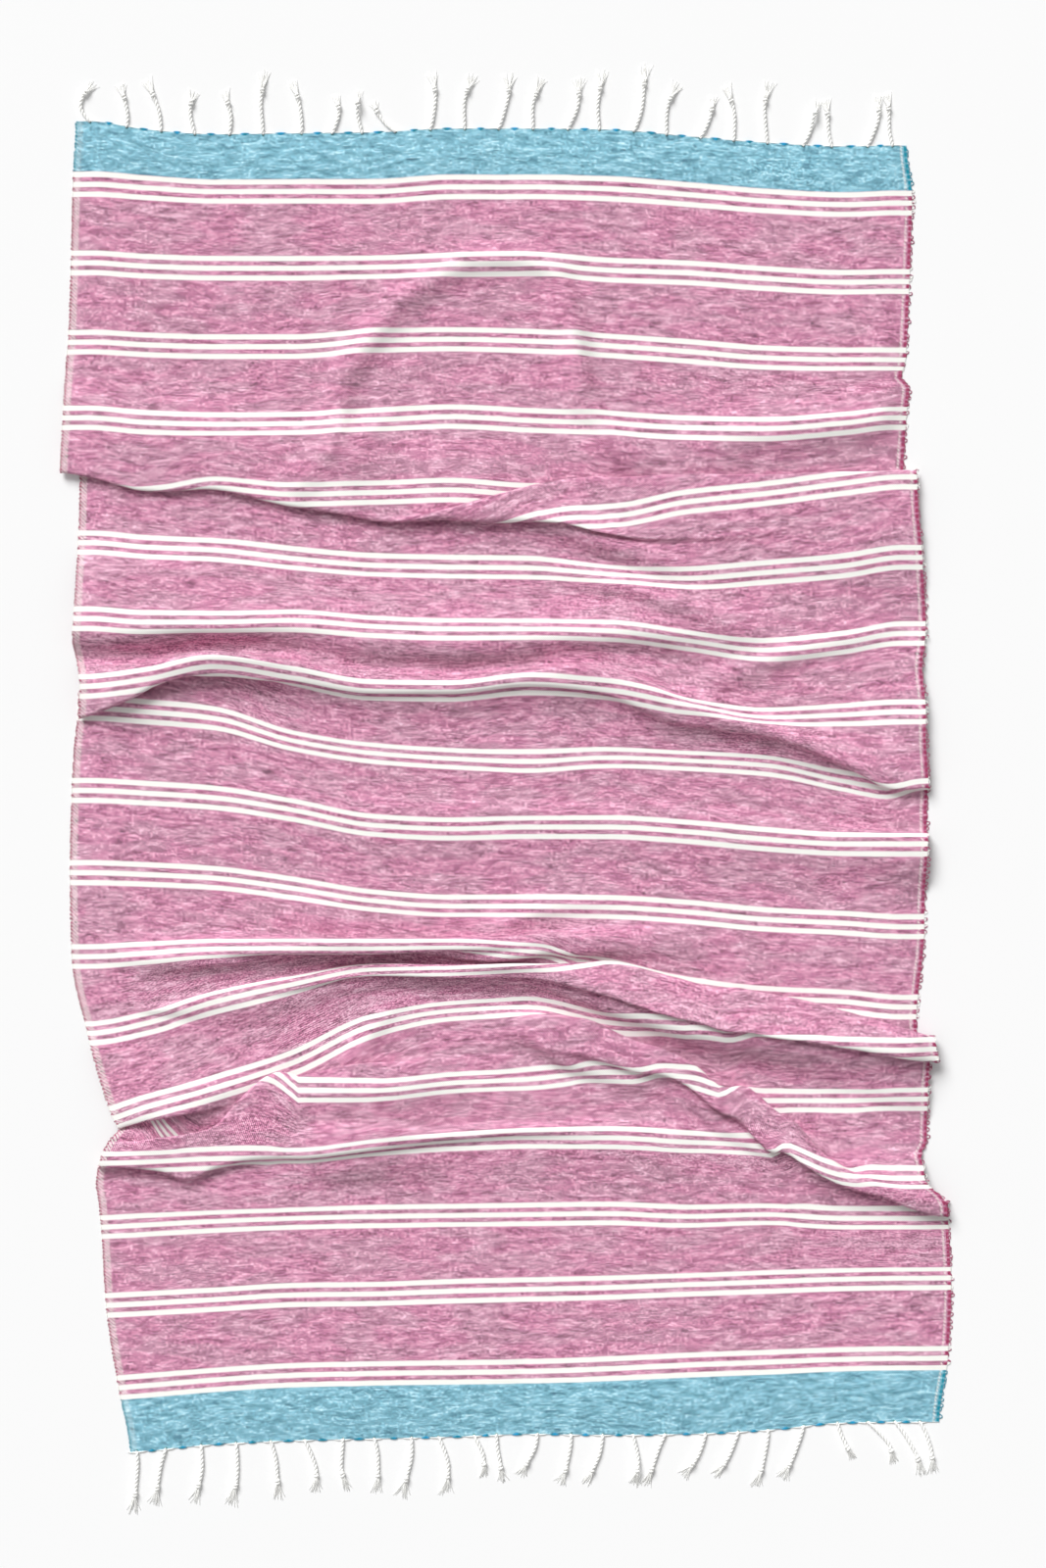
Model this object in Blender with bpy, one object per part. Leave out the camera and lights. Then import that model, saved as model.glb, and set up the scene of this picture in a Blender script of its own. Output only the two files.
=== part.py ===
"""Striped hammam towel lying rumpled on a table, with a knotted fringe at each end.

Lengths in the tables are millimetres. "Across" runs over the cloth from its left selvedge, "along" runs
down the cloth from its head end, and "down" is the distance on the table from the head's left corner.
The model itself is in metres: +X to the right, +Y towards the head end, +Z up, table at z = 0.
"""
from collections import namedtuple
import math

import bmesh
import bpy
import numpy as np

for old in list(bpy.data.objects):
    bpy.data.objects.remove(old, do_unlink=True)

MM = 0.001

# ---- the woven cloth, opened flat --------------------------------------------------------------
CLOTH_WIDTH = 918.0
CLOTH_THICKNESS = 1.2
HEAD_BAND = 50.0
FOOT_BAND = 58.0
LINE_WIDTH = 6.0
LINE_GAP = 4.5
LINES_IN_GROUP = 3
GROUPS = 20
CLOSE_PITCH = 84.0
WIDE_PITCH = 87.0
CLOSE_STEPS = 9
GROUP_WIDTH = LINES_IN_GROUP * LINE_WIDTH + (LINES_IN_GROUP - 1) * LINE_GAP


def group_start(number):
    """Place along the cloth where a stripe group begins; the first group is number 1."""
    steps = number - 1
    return HEAD_BAND + CLOSE_PITCH * min(steps, CLOSE_STEPS) + WIDE_PITCH * max(steps - CLOSE_STEPS, 0)


CLOTH_LENGTH = group_start(GROUPS) + GROUP_WIDTH + FOOT_BAND

# ---- how it is spaced for modelling -------------------------------------------------------------
FINE_STRIPS = 144
FINE_STEP = 1.5
KEPT_COLUMNS = (0, 4, 10, 16, 24, 36, 48, 60, 72, 84, 96, 108, 120, 132, 141, 144)
EVEN_SHARE = 0.012
# a fold that takes up less than this is left out of its patch's reach, and a patch keeps this much room
# before its first fold and after its last one
LEAST_FOLD = 0.3
PATCH_ROOM = 15.0
# how gradually a patch's closing slope passes from before its folds to after them, and the steepest it gets
CLOSING_BLEND = 12.0
STEEPEST = 1.1
# cloth that would sink into the table is lifted together with its neighbours, this many steps away
LIFTED_ALONG = 30
LIFTED_ACROSS = 3
# how far a hidden stripe group follows the seen part of the same group, and what counts as lying flat
FOLLOWS_SEEN = 50.0
LYING_FLAT = 0.03

# ---- the ends, the left selvedge and the breadth as it lies --------------------------------------
Curve = namedtuple("Curve", "at value")
HEAD_EDGE = Curve(
    at=(0, 15, 35, 78, 150, 235, 320, 405, 490, 575, 660, 745, 830, 890, 910, 918),
    value=(-1, 0, 4, 9.5, 13.5, 13, 12.5, 7.5, 8.5, 9.5, 16, 23, 27, 26.5, 29, 36))
LEFT_EDGE = Curve(
    at=(0, 63, 147, 231, 250, 315, 378, 493, 567, 651, 680, 735, 772, 828, 860, 906, 993, 1080, 1167,
        1255, 1269, 1330, 1385, 1405, 1419, 1429, 1468, 1481, 1516, 1603, 1690, 1761),
    value=(3, 0, -2, -5, -7, -9.5, -12.5, 7.5, 6, 3, 1.5, 9.5, 7.5, 5, 1.5, -1, -3, -1, 16,
           44, 50, 51, 49, 39, 32.5, 30, 25, 27, 30.5, 35.5, 49, 61))
BREADTH = Curve(
    at=(0, 63, 147, 231, 252, 275, 315, 378, 493, 567, 651, 735, 819, 906, 993, 1080, 1167, 1255, 1290,
        1341, 1400, 1419, 1429, 1468, 1480, 1516, 1603, 1690, 1761),
    value=(889, 898, 897, 896, 893, 903, 901, 901, 895, 902, 909, 902, 909, 914, 914, 904, 893, 878, 866,
           863, 866, 877, 880, 909, 908, 906, 904, 887, 866))

# ---- the folds, head to foot ---------------------------------------------------------------------
# A rising fold turns back over itself and shows a lip towards the head; a falling one shows its lip
# towards the foot. Each row reads: where across, where along its lip lies, how much length it takes up.
RISE = 1.0
FALL = -1.0
Fold = namedtuple("Fold", "name way lip_turn inner_turn across place taken_up")
Patch = namedtuple("Patch", "name begins folds ends parted rows")

PLEAT_START = Curve(at=(0, 320, 460, 918), value=(250, 285, 330, 330))
PLEAT_END = Curve(at=(0, 404, 572, 656, 740, 918), value=(520, 545, 575, 600, 625, 650))
CREST_END = Curve(at=(0, 146, 482, 734, 918), value=(845, 855, 838, 850, 860))
WAVE_END = Curve(at=(0, 918), value=(975, 975))
RIDGE_START = Curve(at=(0, 918), value=(1000, 1000))
RIDGE_END = Curve(at=(0, 447, 489, 573, 657, 741, 825, 918),
                  value=(1122, 1122, 1110, 1080, 1072, 1074, 1084, 1100))
SECOND_END = Curve(
    at=(0, 80, 153, 321, 489, 573, 657, 741, 825, 888, 918),
    value=(1140, 1170, 1215, 1225, 1240, 1262, 1290, 1318, 1345, 1375, 1380))
SLANT_END = Curve(
    at=(0, 33, 69, 98, 131, 164, 230, 306, 430, 547, 634, 722, 777, 850, 918),
    value=(1375, 1365, 1335, 1325, 1305, 1290, 1270, 1290, 1310, 1370, 1400, 1450, 1488, 1505, 1512))
FLAP_END = Curve(at=(0, 98, 160, 460, 918), value=(1490, 1500, 1490, 1500, 1540))
# where one fold of a patch ends and its next begins
PLEAT_PARTED = Curve(at=(0, 79, 152, 236, 320, 404, 467, 525, 572, 656, 740, 918),
                     value=(366, 380, 390, 402, 417, 442, 458, 468, 475, 492, 500, 505))
CREST_PARTED = Curve(at=(0, 918), value=(696, 692))
VALLEY_PARTED = Curve(at=(0, 60, 146, 482, 560, 650, 734, 818, 918),
                      value=(744, 738, 732, 731, 730, 748, 762, 785, 805))
RIDGE_PARTED = Curve(at=(0, 405, 460, 500, 540, 573, 620, 918),
                     value=(1082, 1078, 1073, 1064, 1048, 1040, 1036, 1036))
SECOND_PARTED = Curve(at=(0, 80, 153, 405, 489, 573, 657, 741, 825, 888, 918),
                      value=(1131, 1148, 1170, 1174, 1181, 1196, 1208, 1222, 1236, 1250, 1256))
SLANT_PARTED = Curve(
    at=(0, 20, 49, 88, 130, 230, 306, 400, 460, 547, 634, 678, 722, 744, 777, 810, 875, 918),
    value=(1298, 1296, 1288, 1282, 1276, 1245, 1258, 1272, 1290, 1308, 1333, 1356, 1384, 1398, 1415, 1428,
           1450, 1458))
FLAP_PARTED = Curve(
    at=(0, 98, 131, 164, 197, 230, 306, 400, 540, 634, 722, 777, 850, 918),
    value=(1415, 1412, 1388, 1366, 1348, 1340, 1346, 1370, 1388, 1408, 1462, 1496, 1512, 1520))

PATCHES = [
    Patch("upper pleat", PLEAT_START, [
        Fold("north lip", RISE, 9, 9,
             across=(270, 330, 404, 467, 525, 572, 656, 740, 824, 887),
             place=(428, 430, 436, 441, 442, 442, 452, 462, 469, 476),
             taken_up=(0, 1, 15, 40, 59, 68, 87, 99, 101, 102)),
        Fold("south lip", FALL, (10, 10, 10, 10, 12, 14, 25, 22, 12, 10, 10, 10, 10), 9,
             across=(0, 16, 79, 152, 236, 320, 404, 467, 525, 572, 656, 740, 800),
             place=(378, 380, 391, 401, 413, 428, 449, 475, 489, 504, 525, 530, 530),
             taken_up=(116, 116, 116, 116, 107, 96, 79, 50, 28, 10, 1, 0.4, 0)),
    ], PLEAT_END, parted=(PLEAT_PARTED,), rows=(8, 10)),
    Patch("crests about the eighth and ninth groups", PLEAT_END, [
        Fold("crest", FALL, 46, 46,
             across=(9, 79, 146, 230, 314, 398, 482, 560, 630, 700, 918),
             place=(682, 676, 672, 676, 682, 682, 680, 672, 664, 656, 656),
             taken_up=(7, 11, 12, 8, 6, 7, 7, 8, 5, 1, 0)),
        Fold("north side", RISE, 36, 36,
             across=(9, 60, 146, 230, 314, 398, 482, 545, 576, 620, 650, 700, 734, 786, 818, 918),
             place=(716, 716, 714, 714, 714, 716, 717, 708, 712, 718, 728, 742, 748, 762, 770, 780),
             taken_up=(7, 12, 20, 14, 8, 9, 14, 13, 11, 9, 8, 6, 5, 4, 2, 0)),
        Fold("south lip", FALL, 12, 12,
             across=(0, 9, 60, 85, 112, 146, 188, 230, 314, 398, 482, 560, 650, 692, 734, 786, 818, 881,
                     918),
             place=(772, 770, 755, 746, 744, 749, 748, 743, 741, 739, 739, 742, 765, 768, 772, 785, 795,
                    815, 820),
             taken_up=(62, 60, 55, 45, 39, 25, 12, 4, 2, 2, 2, 2, 2, 3, 3, 4, 5, 10, 14)),
    ], CREST_END, parted=(CREST_PARTED, VALLEY_PARTED), rows=(7, 6, 8)),
    Patch("right wave", CREST_END, [
        Fold("north lip", RISE, 20, 20,
             across=(150, 230, 320, 482, 573, 657, 741, 825, 880, 918),
             place=(880, 880, 880, 880, 882, 884, 886, 890, 892, 894),
             taken_up=(0, 0.4, 0.6, 0.8, 0.8, 1, 2, 4, 8, 10)),
    ], WAVE_END, parted=(), rows=(5,)),
    Patch("first ridge", RIDGE_START, [
        Fold("north side", RISE, 28, 28,
             across=(10, 80, 153, 237, 321, 405, 460, 500, 540, 573, 620, 720),
             place=(1070, 1070, 1068, 1066, 1064, 1062, 1058, 1050, 1036, 1026, 1020, 1015),
             taken_up=(0, 1, 5, 15, 22, 18, 14, 11, 8, 5, 2, 0)),
        Fold("slit", FALL, 18, 18,
             across=(30, 80, 153, 237, 321, 405, 447, 489, 552, 620),
             place=(1094, 1094, 1093, 1092, 1092, 1090, 1086, 1076, 1058, 1050),
             taken_up=(0, 0.4, 1, 16, 26, 9, 3, 1, 0.5, 0)),
    ], RIDGE_END, parted=(RIDGE_PARTED,), rows=(6, 5)),
    Patch("second ridge", RIDGE_END, [
        Fold("north lip", RISE,
             lip_turn=(14, 14, 16, 18, 18, 20, 22, 24, 24, 24, 24, 24, 24, 24),
             inner_turn=(12, 12, 14, 18, 18, 16, 14, 12, 9, 8, 8, 8, 8, 8),
             across=(30, 80, 153, 237, 321, 405, 447, 489, 573, 657, 741, 825, 888, 918),
             place=(1150, 1152, 1158, 1158, 1158, 1161, 1163, 1166, 1176, 1182, 1193, 1212, 1230, 1238),
             taken_up=(0, 1, 2, 4, 10, 26, 40, 54, 90, 108, 115, 120, 128, 128)),
        Fold("south lip", FALL, 9, 8,
             across=(180, 237, 269, 321, 405, 489, 510, 552, 594, 657, 741, 825, 888, 918),
             place=(1178, 1178, 1178, 1180, 1187, 1194, 1199, 1212, 1224, 1232, 1247, 1257, 1268, 1272),
             taken_up=(0, 1, 3, 6, 9, 9, 9, 10, 13, 18, 22, 22, 22, 22)),
    ], SECOND_END, parted=(SECOND_PARTED,), rows=(8, 8)),
    Patch("slanting ridge and left lip", SECOND_END, [
        Fold("ridge north side", RISE, 18, 18,
             across=(400, 430, 460, 503, 547, 634, 678, 722, 744, 810, 875, 918),
             place=(1258, 1263, 1268, 1276, 1290, 1318, 1340, 1364, 1376, 1411, 1438, 1440),
             taken_up=(0, 1, 6, 21, 36, 30, 30, 34, 30, 12, 2, 0)),
        Fold("ridge south side", FALL, 14, 12,
             across=(460, 547, 634, 678, 722, 744, 777, 810, 842, 875, 918),
             place=(1310, 1327, 1350, 1374, 1404, 1419, 1435, 1445, 1456, 1468, 1476),
             taken_up=(0, 5, 10, 10, 13, 17, 27, 38, 42, 43, 44)),
        Fold("left lip", FALL, 10, 9,
             across=(0, 4, 20, 33, 49, 65, 88, 130),
             place=(1269, 1269, 1271, 1272, 1274, 1275, 1277, 1278),
             taken_up=(116, 113, 100, 80, 52, 30, 8, 0)),
    ], SLANT_END, parted=(SLANT_PARTED,), rows=(8, 8)),
    Patch("left flap", SLANT_END, [
        Fold("flap lip", RISE, 10, 9,
             across=(0, 31, 49, 69, 98, 131, 164, 197, 230, 263, 306, 400),
             place=(1405, 1402, 1399, 1397, 1397, 1374, 1352, 1330, 1322, 1315, 1310, 1310),
             taken_up=(0, 18, 46, 68, 98, 100, 92, 74, 54, 32, 10, 0)),
        Fold("middle rise", RISE, 24, 24,
             across=(200, 240, 284, 330, 372, 460, 540, 634, 760),
             place=(1385, 1390, 1395, 1405, 1414, 1414, 1414, 1412, 1410),
             taken_up=(0, 2, 4, 5, 4, 3, 2, 1, 0)),
        Fold("seventeenth group", FALL, 16, 16,
             across=(0, 33, 69, 98, 131, 164, 197, 284, 372, 460, 600),
             place=(1437, 1438, 1444, 1456, 1442, 1434, 1432, 1433, 1428, 1425, 1425),
             taken_up=(12, 15, 9, 6, 5, 5, 4, 4, 3, 2, 0)),
    ], FLAP_END, parted=(FLAP_PARTED,), rows=(7, 7)),
]
ROWS_BETWEEN = 1
ROWS_AT_HEAD = 5
ROWS_AT_FOOT = 5

# ---- where each stripe group lies on the table ---------------------------------------------------
# One row a group: how far down its middle line lies at ten-odd places over the table, counted from the
# left; HID where the group is tucked under a fold.
HID = None
SEEN_AT = (16, 79, 152, 236, 320, 404, 488, 572, 656, 740, 824, 887)
Seen = namedtuple("Seen", "name along down")


def middle_of(number):
    return group_start(number) + GROUP_WIDTH / 2


STRIPES_LIE = [
    Seen("head edge", 0.0, (0, 9, 14, 13, 12, 8, 8, 9, 16, 23, 27, 26)),
    Seen("1", middle_of(1), (67, 71, 75, 75, 75, 70, 70, 72, 78, 85, 89, 87)),
    Seen("2", middle_of(2), (151, 155, 157, 157, 156, 154, 153, 159, 162, 168, 172, 171)),
    Seen("3", middle_of(3), (236, 239, 241, 241, 235, 233, 235, 240, 246, 253, 255, 255)),
    Seen("4", middle_of(4), (318, 323, 325, 324, 320, 316, 320, 323, 328, 330, 324, 317)),
    Seen("5", middle_of(5), (HID, HID, 393, 400, 398, 395, 400, HID, HID, HID, HID, HID)),
    Seen("6", middle_of(6), (364, 371, HID, HID, HID, HID, HID, 423, 408, 399, 388, 381)),
    Seen("7", middle_of(7), (451, 456, 459, 468, 475, 477, 478, 485, 489, 483, 476, 467)),
    Seen("8", middle_of(8), (533, 537, 537, 535, 541, 544, 544, 546, 556, 566, 558, 548)),
    Seen("9", middle_of(9), (605, 598, 584, 596, 610, 611, 603, 609, 625, 638, 635, 632)),
    Seen("10", middle_of(10), (628, 632, 639, 663, 676, 682, 685, 681, 684, 689, 706, 715)),
    Seen("11", middle_of(11), (716, 719, 724, 737, 753, 757, 755, 755, 760, 768, 773, 773)),
    Seen("12", middle_of(12), (804, 806, 810, 821, 834, 840, 840, 841, 846, 854, 858, 862)),
    Seen("13", middle_of(13), (894, 890, 885, 884, 884, 883, 887, 906, 928, 938, 942, 948)),
    Seen("14", middle_of(14), (976, 965, 942, 923, 907, 905, 901, 903, HID, HID, HID, HID)),
    Seen("15", middle_of(15), (1072, 1054, 1034, 1007, 968, 952, 948, 964, 969, HID, 990, 992)),
    Seen("16", middle_of(16), (HID, HID, HID, 1036, 1036, 1029, 1025, 1017, 1021, 1048, 1048, 1046)),
    Seen("17", middle_of(17), (1114, 1112, 1109, 1108, 1098, 1091, 1087, 1087, 1092, 1097, 1126, 1130)),
    Seen("18", middle_of(18), (1184, 1181, 1177, 1174, 1172, 1171, 1170, 1169, 1172, 1170, 1174, 1174)),
    Seen("19", middle_of(19), (1268, 1265, 1261, 1256, 1255, 1252, 1250, 1248, 1245, 1242, 1239, 1238)),
    Seen("20", middle_of(20), (1358, 1353, 1347, 1342, 1340, 1339, 1338, 1335, 1331, 1328, 1325, 1324)),
    Seen("foot edge", CLOTH_LENGTH,
         (1428, 1424, 1417, 1413, 1411, 1409, 1406, 1407, 1406, 1402, 1394, 1393)),
]

# ---- the fringes ---------------------------------------------------------------------------------
CORD_WIDTH = 3.6
CORD_HEIGHT = 2.6
KNOT_SWELL = 1.35
TIP_SHRINK = 0.45
# how far along a cord each of its sections lies, and how large it is beside the plain cord
CORD_SECTIONS = ((0.35, 1.0), (0.8, KNOT_SWELL), (1.0, TIP_SHRINK))
HEADER_DEPTH = 2.6
HEADER_HEIGHT = 1.8
SEAT_GAP = 0.4
# a cord: where it leaves the end edge, where its tip lies beyond that edge and to which side it bows
Cord = namedtuple("Cord", "root aside out bow")
HEAD_CORDS = [
    Cord(18, 7, 40, -14), Cord(57, -8, 42, 4), Cord(94, -14, 52, 3), Cord(130, -3, 43, -3),
    Cord(167, -4, 44, 3), Cord(203, 0, 62, -2), Cord(244, -10, 52, 4), Cord(277, 5, 38, 4),
    Cord(309, -5, 40, -2), Cord(345, -21, 30, -6), Cord(382, 2, 56, 4), Cord(419, 7, 54, -4),
    Cord(455, 11, 54, 3), Cord(492, 8, 50, -4), Cord(529, 13, 50, 4), Cord(563, 3, 58, -3),
    Cord(600, 10, 66, 5), Cord(635, 11, 52, -5), Cord(671, 12, 40, 4), Cord(707, -6, 56, 3),
    Cord(743, 0, 60, -3), Cord(781, 14, 44, 3), Cord(812, -5, 46, -2), Cord(850, 12, 50, 4),
    Cord(877, -3, 52, -3),
]
FOOT_CORDS = [
    Cord(68, -6, 60, 3), Cord(99, -9, 54, -3), Cord(137, -6, 56, 3), Cord(174, -5, 60, 4),
    Cord(211, 6, 56, 4), Cord(247, 12, 50, 5), Cord(289, 2, 50, -3), Cord(322, 1, 52, 4),
    Cord(362, -11, 58, 4), Cord(391, 9, 56, 5), Cord(429, 12, 40, 3), Cord(453, 8, 46, -2),
    Cord(497, -19, 42, 4), Cord(533, -12, 50, 3), Cord(567, -17, 50, 3), Cord(599, 4, 50, 3),
    Cord(634, -18, 50, -2), Cord(677, -23, 44, 4), Cord(712, -24, 46, 3), Cord(744, -14, 56, 3),
    Cord(782, -24, 54, 3), Cord(818, 18, 36, -3), Cord(850, 28, 40, 6), Cord(879, 27, 52, 5),
    Cord(906, 12, 50, 5),
]

# ---- materials -----------------------------------------------------------------------------------
CLOTH_COLOUR = (0.55, 0.27, 0.40)
CLOTH_ROUGHNESS = 0.95
CORD_COLOUR = (0.93, 0.92, 0.88)
CORD_ROUGHNESS = 0.9


# ---- shape functions -----------------------------------------------------------------------------
def through(curve_at, curve_value, at):
    """A smooth line through the given values that never overshoots them."""
    x = np.asarray(curve_at, float)
    y = np.asarray(curve_value, float)
    gap = np.diff(x)
    slope = np.diff(y) / gap
    tangent = np.zeros(len(x))
    same = slope[:-1] * slope[1:] > 0
    safe = np.where(same, slope[:-1] + slope[1:], 1.0)
    tangent[1:-1] = np.where(same, 2 * slope[:-1] * slope[1:] / safe, 0.0)
    k = np.clip(np.searchsorted(x, at) - 1, 0, len(x) - 2)
    t = np.clip((at - x[k]) / gap[k], 0.0, 1.0)
    near = 2 * t**3 - 3 * t**2 + 1
    leave = t**3 - 2 * t**2 + t
    arrive = t**3 - t**2
    leaving = near * y[k] + leave * gap[k] * tangent[k]
    return leaving + (1 - near) * y[k + 1] + arrive * gap[k] * tangent[k + 1]


def ease(t):
    t = np.clip(t, 0.0, 1.0)
    return t * t * (3 - 2 * t)


def hump(t):
    return np.sin(np.pi * np.clip(t, 0, 1)) ** 2


def half_turns(v, first, last, first_turn, last_turn):
    """How far the cloth has turned over: 0 before the first turn, 1 between them, 0 after the last."""
    return ease((v - first) / first_turn + 0.5) - ease((v - last) / last_turn + 0.5)


REACHES = np.linspace(0, 1.2, 61)
FINE_V = np.linspace(-0.6, 1.9, 2501)
LENGTH_USED = np.array([
    (1 - np.cos(np.pi * half_turns(FINE_V, 0.0, reach, 1.0, 1.0))).sum() * (FINE_V[1] - FINE_V[0])
    for reach in REACHES])


def reach_for(taken_up, turn):
    """Distance between a fold's two turns that takes up the given length of cloth."""
    t = taken_up / turn
    small = np.interp(t, LENGTH_USED, REACHES)
    big = REACHES[-1] + (t - LENGTH_USED[-1]) / 2
    return turn * np.where(t > LENGTH_USED[-1], big, small)


def blurred(values, half, axis):
    """Running mean taken three times, with the end values held."""
    out = np.moveaxis(values, axis, 0)
    count = len(out)
    for _ in range(3):
        padded = np.concatenate([np.repeat(out[:1], half + 1, 0), out, np.repeat(out[-1:], half, 0)])
        total = np.cumsum(padded, 0)
        out = (total[2 * half + 1:] - total[:count]) / (2 * half + 1)
    return np.moveaxis(out, 0, axis)


def highest_near(values, half, axis):
    out = values.copy()
    for step in range(1, half + 1):
        for way in (-step, step):
            out = np.maximum(out, np.roll(values, way, axis))
    return out


def headings(u, v):
    """Slope angle of the cloth along each column, and the stretch that each patch of folds covers."""
    along = v[None, :]
    heading = np.zeros((len(u), len(v)))
    spans = []
    for patch in PATCHES:
        begins = through(patch.begins.at, patch.begins.value, u)
        ends = through(patch.ends.at, patch.ends.value, u)
        laid = []
        for fold in patch.folds:
            lip = through(fold.across, fold.place, u)
            taken = through(fold.across, np.sqrt(fold.taken_up), u) ** 2
            lip_turn = through(fold.across, np.broadcast_to(fold.lip_turn, len(fold.across)), u)
            inner_turn = through(fold.across, np.broadcast_to(fold.inner_turn, len(fold.across)), u)
            reach = reach_for(taken, (lip_turn + inner_turn) / 2)
            if fold.way == RISE:
                turned = half_turns(along, (lip - reach)[:, None], lip[:, None],
                                    inner_turn[:, None], lip_turn[:, None])
            else:
                turned = half_turns(along, lip[:, None], (lip + reach)[:, None],
                                    lip_turn[:, None], inner_turn[:, None])
            heading += fold.way * np.pi * turned
            laid.append((fold.way, lip, reach, taken, (lip_turn + inner_turn) / 4))
        first = np.full(len(u), CLOTH_LENGTH)
        last = np.zeros(len(u))
        for way, lip, reach, taken, half in laid:
            pad = np.minimum(half, 2 * reach)
            before = 0
            after = 0
            for other_way, other_lip, _, other_taken, _ in laid:
                if way == FALL and other_way == RISE:
                    before = before + np.where(other_lip < lip, other_taken, 0)
                if way == RISE and other_way == FALL:
                    after = after + np.where(other_lip > lip, other_taken, 0)
            present = taken > LEAST_FOLD
            first = np.where(present, np.minimum(first, lip - reach - pad - before), first)
            last = np.where(present, np.maximum(last, lip + reach + pad + after), last)
        absent = last == 0
        first = np.where(absent, (begins + ends) / 2, first)
        last = np.where(absent, (begins + ends) / 2, last)
        first = blurred(np.clip(first, begins + PATCH_ROOM, ends - PATCH_ROOM), 2, 0)
        last = blurred(np.clip(last, begins + PATCH_ROOM, ends - PATCH_ROOM), 2, 0)
        spans.append((begins, first, last, ends))
    return heading, spans


def closed_headings(u, v, heading, spans):
    """Adds the gentle climbs and descents that bring each patch back to the table."""
    step = v[1] - v[0]
    along = v[None, :]
    for begins, first, last, ends in spans:
        inside = (along >= begins[:, None]) & (along <= ends[:, None])
        net = -(np.sin(heading) * step * inside).sum(1)
        share = ease(net / CLOSING_BLEND + 0.5)
        climb = hump((along - begins[:, None]) / (first - begins)[:, None])
        descent = hump((along - last[:, None]) / (ends - last)[:, None])
        shape = share[:, None] * climb + (1 - share[:, None]) * descent
        run = (share * (first - begins) + (1 - share) * (ends - last)) / 2
        lean_by = np.zeros(len(u))
        for _ in range(8):
            short = -(np.sin(heading + lean_by[:, None] * shape) * step * inside).sum(1)
            lean_by = np.clip(lean_by + short / run, -STEEPEST, STEEPEST)
        heading = heading + lean_by[:, None] * shape
    return heading


def heights(v, heading, spans):
    step = v[1] - v[0]
    z = np.cumsum(np.sin(heading) * step, 1)
    z -= z[:, :1]
    for begins, _, _, ends in spans:
        at_start = np.array([np.interp(place, v, row) for place, row in zip(begins, z)])
        at_end = np.array([np.interp(place, v, row) for place, row in zip(ends, z)])
        t = np.clip((v[None, :] - begins[:, None]) / (ends - begins)[:, None], 0, 1)
        z = z - t * (at_end - at_start)[:, None]
    sunk = highest_near(highest_near(np.maximum(-z, 0), LIFTED_ALONG, 1), LIFTED_ACROSS, 0)
    return np.maximum(z + blurred(blurred(sunk, 9, 1), 1, 0), 0)


def stripes_in_place(u, v, down):
    """Slides the cloth along each column until the stripe groups lie where they are seen."""
    places = np.array([row.along for row in STRIPES_LIE])
    seen_at = np.array(SEEN_AT, float)
    shift = np.full((len(STRIPES_LIE), len(u)), np.nan)
    for r, row in enumerate(STRIPES_LIE):
        seen = np.array([value is not None for value in row.down])
        value = np.array([0.0 if value is None else value for value in row.down])
        left = through(LEFT_EDGE.at, LEFT_EDGE.value, places[r:r + 1])[0]
        breadth = through(BREADTH.at, BREADTH.value, places[r:r + 1])[0]
        x = left + u / CLOTH_WIDTH * breadth
        k = np.clip(np.searchsorted(seen_at, x) - 1, 0, len(seen_at) - 2)
        known = np.where(x > seen_at[-1], seen[-1], seen[k] & seen[k + 1])
        known = np.where(x < seen_at[0], seen[0], known)
        column = int(round(places[r] / (v[1] - v[0])))
        target = through(seen_at[seen], value[seen], x)
        shift[r] = np.where(known, target - down[:, column], np.nan)
    known = ~np.isnan(shift)
    filled = shift.copy()
    for i in range(len(u)):
        filled[:, i] = np.interp(places, places[known[:, i]], shift[known[:, i], i])
    for r in range(len(places)):
        if known[r].all():
            continue
        across = np.interp(u, u[known[r]], shift[r, known[r]])
        away = np.abs(u[:, None] - u[known[r]][None, :]).min(1)
        near = np.exp(-(away / FOLLOWS_SEEN) ** 2)
        filled[r] = near * across + (1 - near) * filled[r]
    return down + np.array([through(places, filled[:, i], v) for i in range(len(u))])


def lying_cloth():
    """Middle surface of the towel as it lies, on a fine even grid: across, along, x, down, z, heading."""
    u = np.linspace(0, CLOTH_WIDTH, FINE_STRIPS + 1)
    v = np.linspace(0, CLOTH_LENGTH, int(CLOTH_LENGTH / FINE_STEP) + 1)
    heading, spans = headings(u, v)
    heading = closed_headings(u, v, heading, spans)
    z = heights(v, heading, spans)
    left = through(LEFT_EDGE.at, LEFT_EDGE.value, v)
    breadth = through(BREADTH.at, BREADTH.value, v)
    x = left[None, :] + u[:, None] / CLOTH_WIDTH * breadth[None, :]
    step = v[1] - v[0]
    drift = np.gradient(x, axis=1) / step
    advance = np.cos(heading) * np.sqrt(np.maximum(1 - drift**2, 0.3))
    down = np.cumsum(advance * step, 1)
    down += (through(HEAD_EDGE.at, HEAD_EDGE.value, u) - down[:, 0])[:, None]
    down = stripes_in_place(u, v, down)
    return u, v, x, down, z, heading


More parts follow.
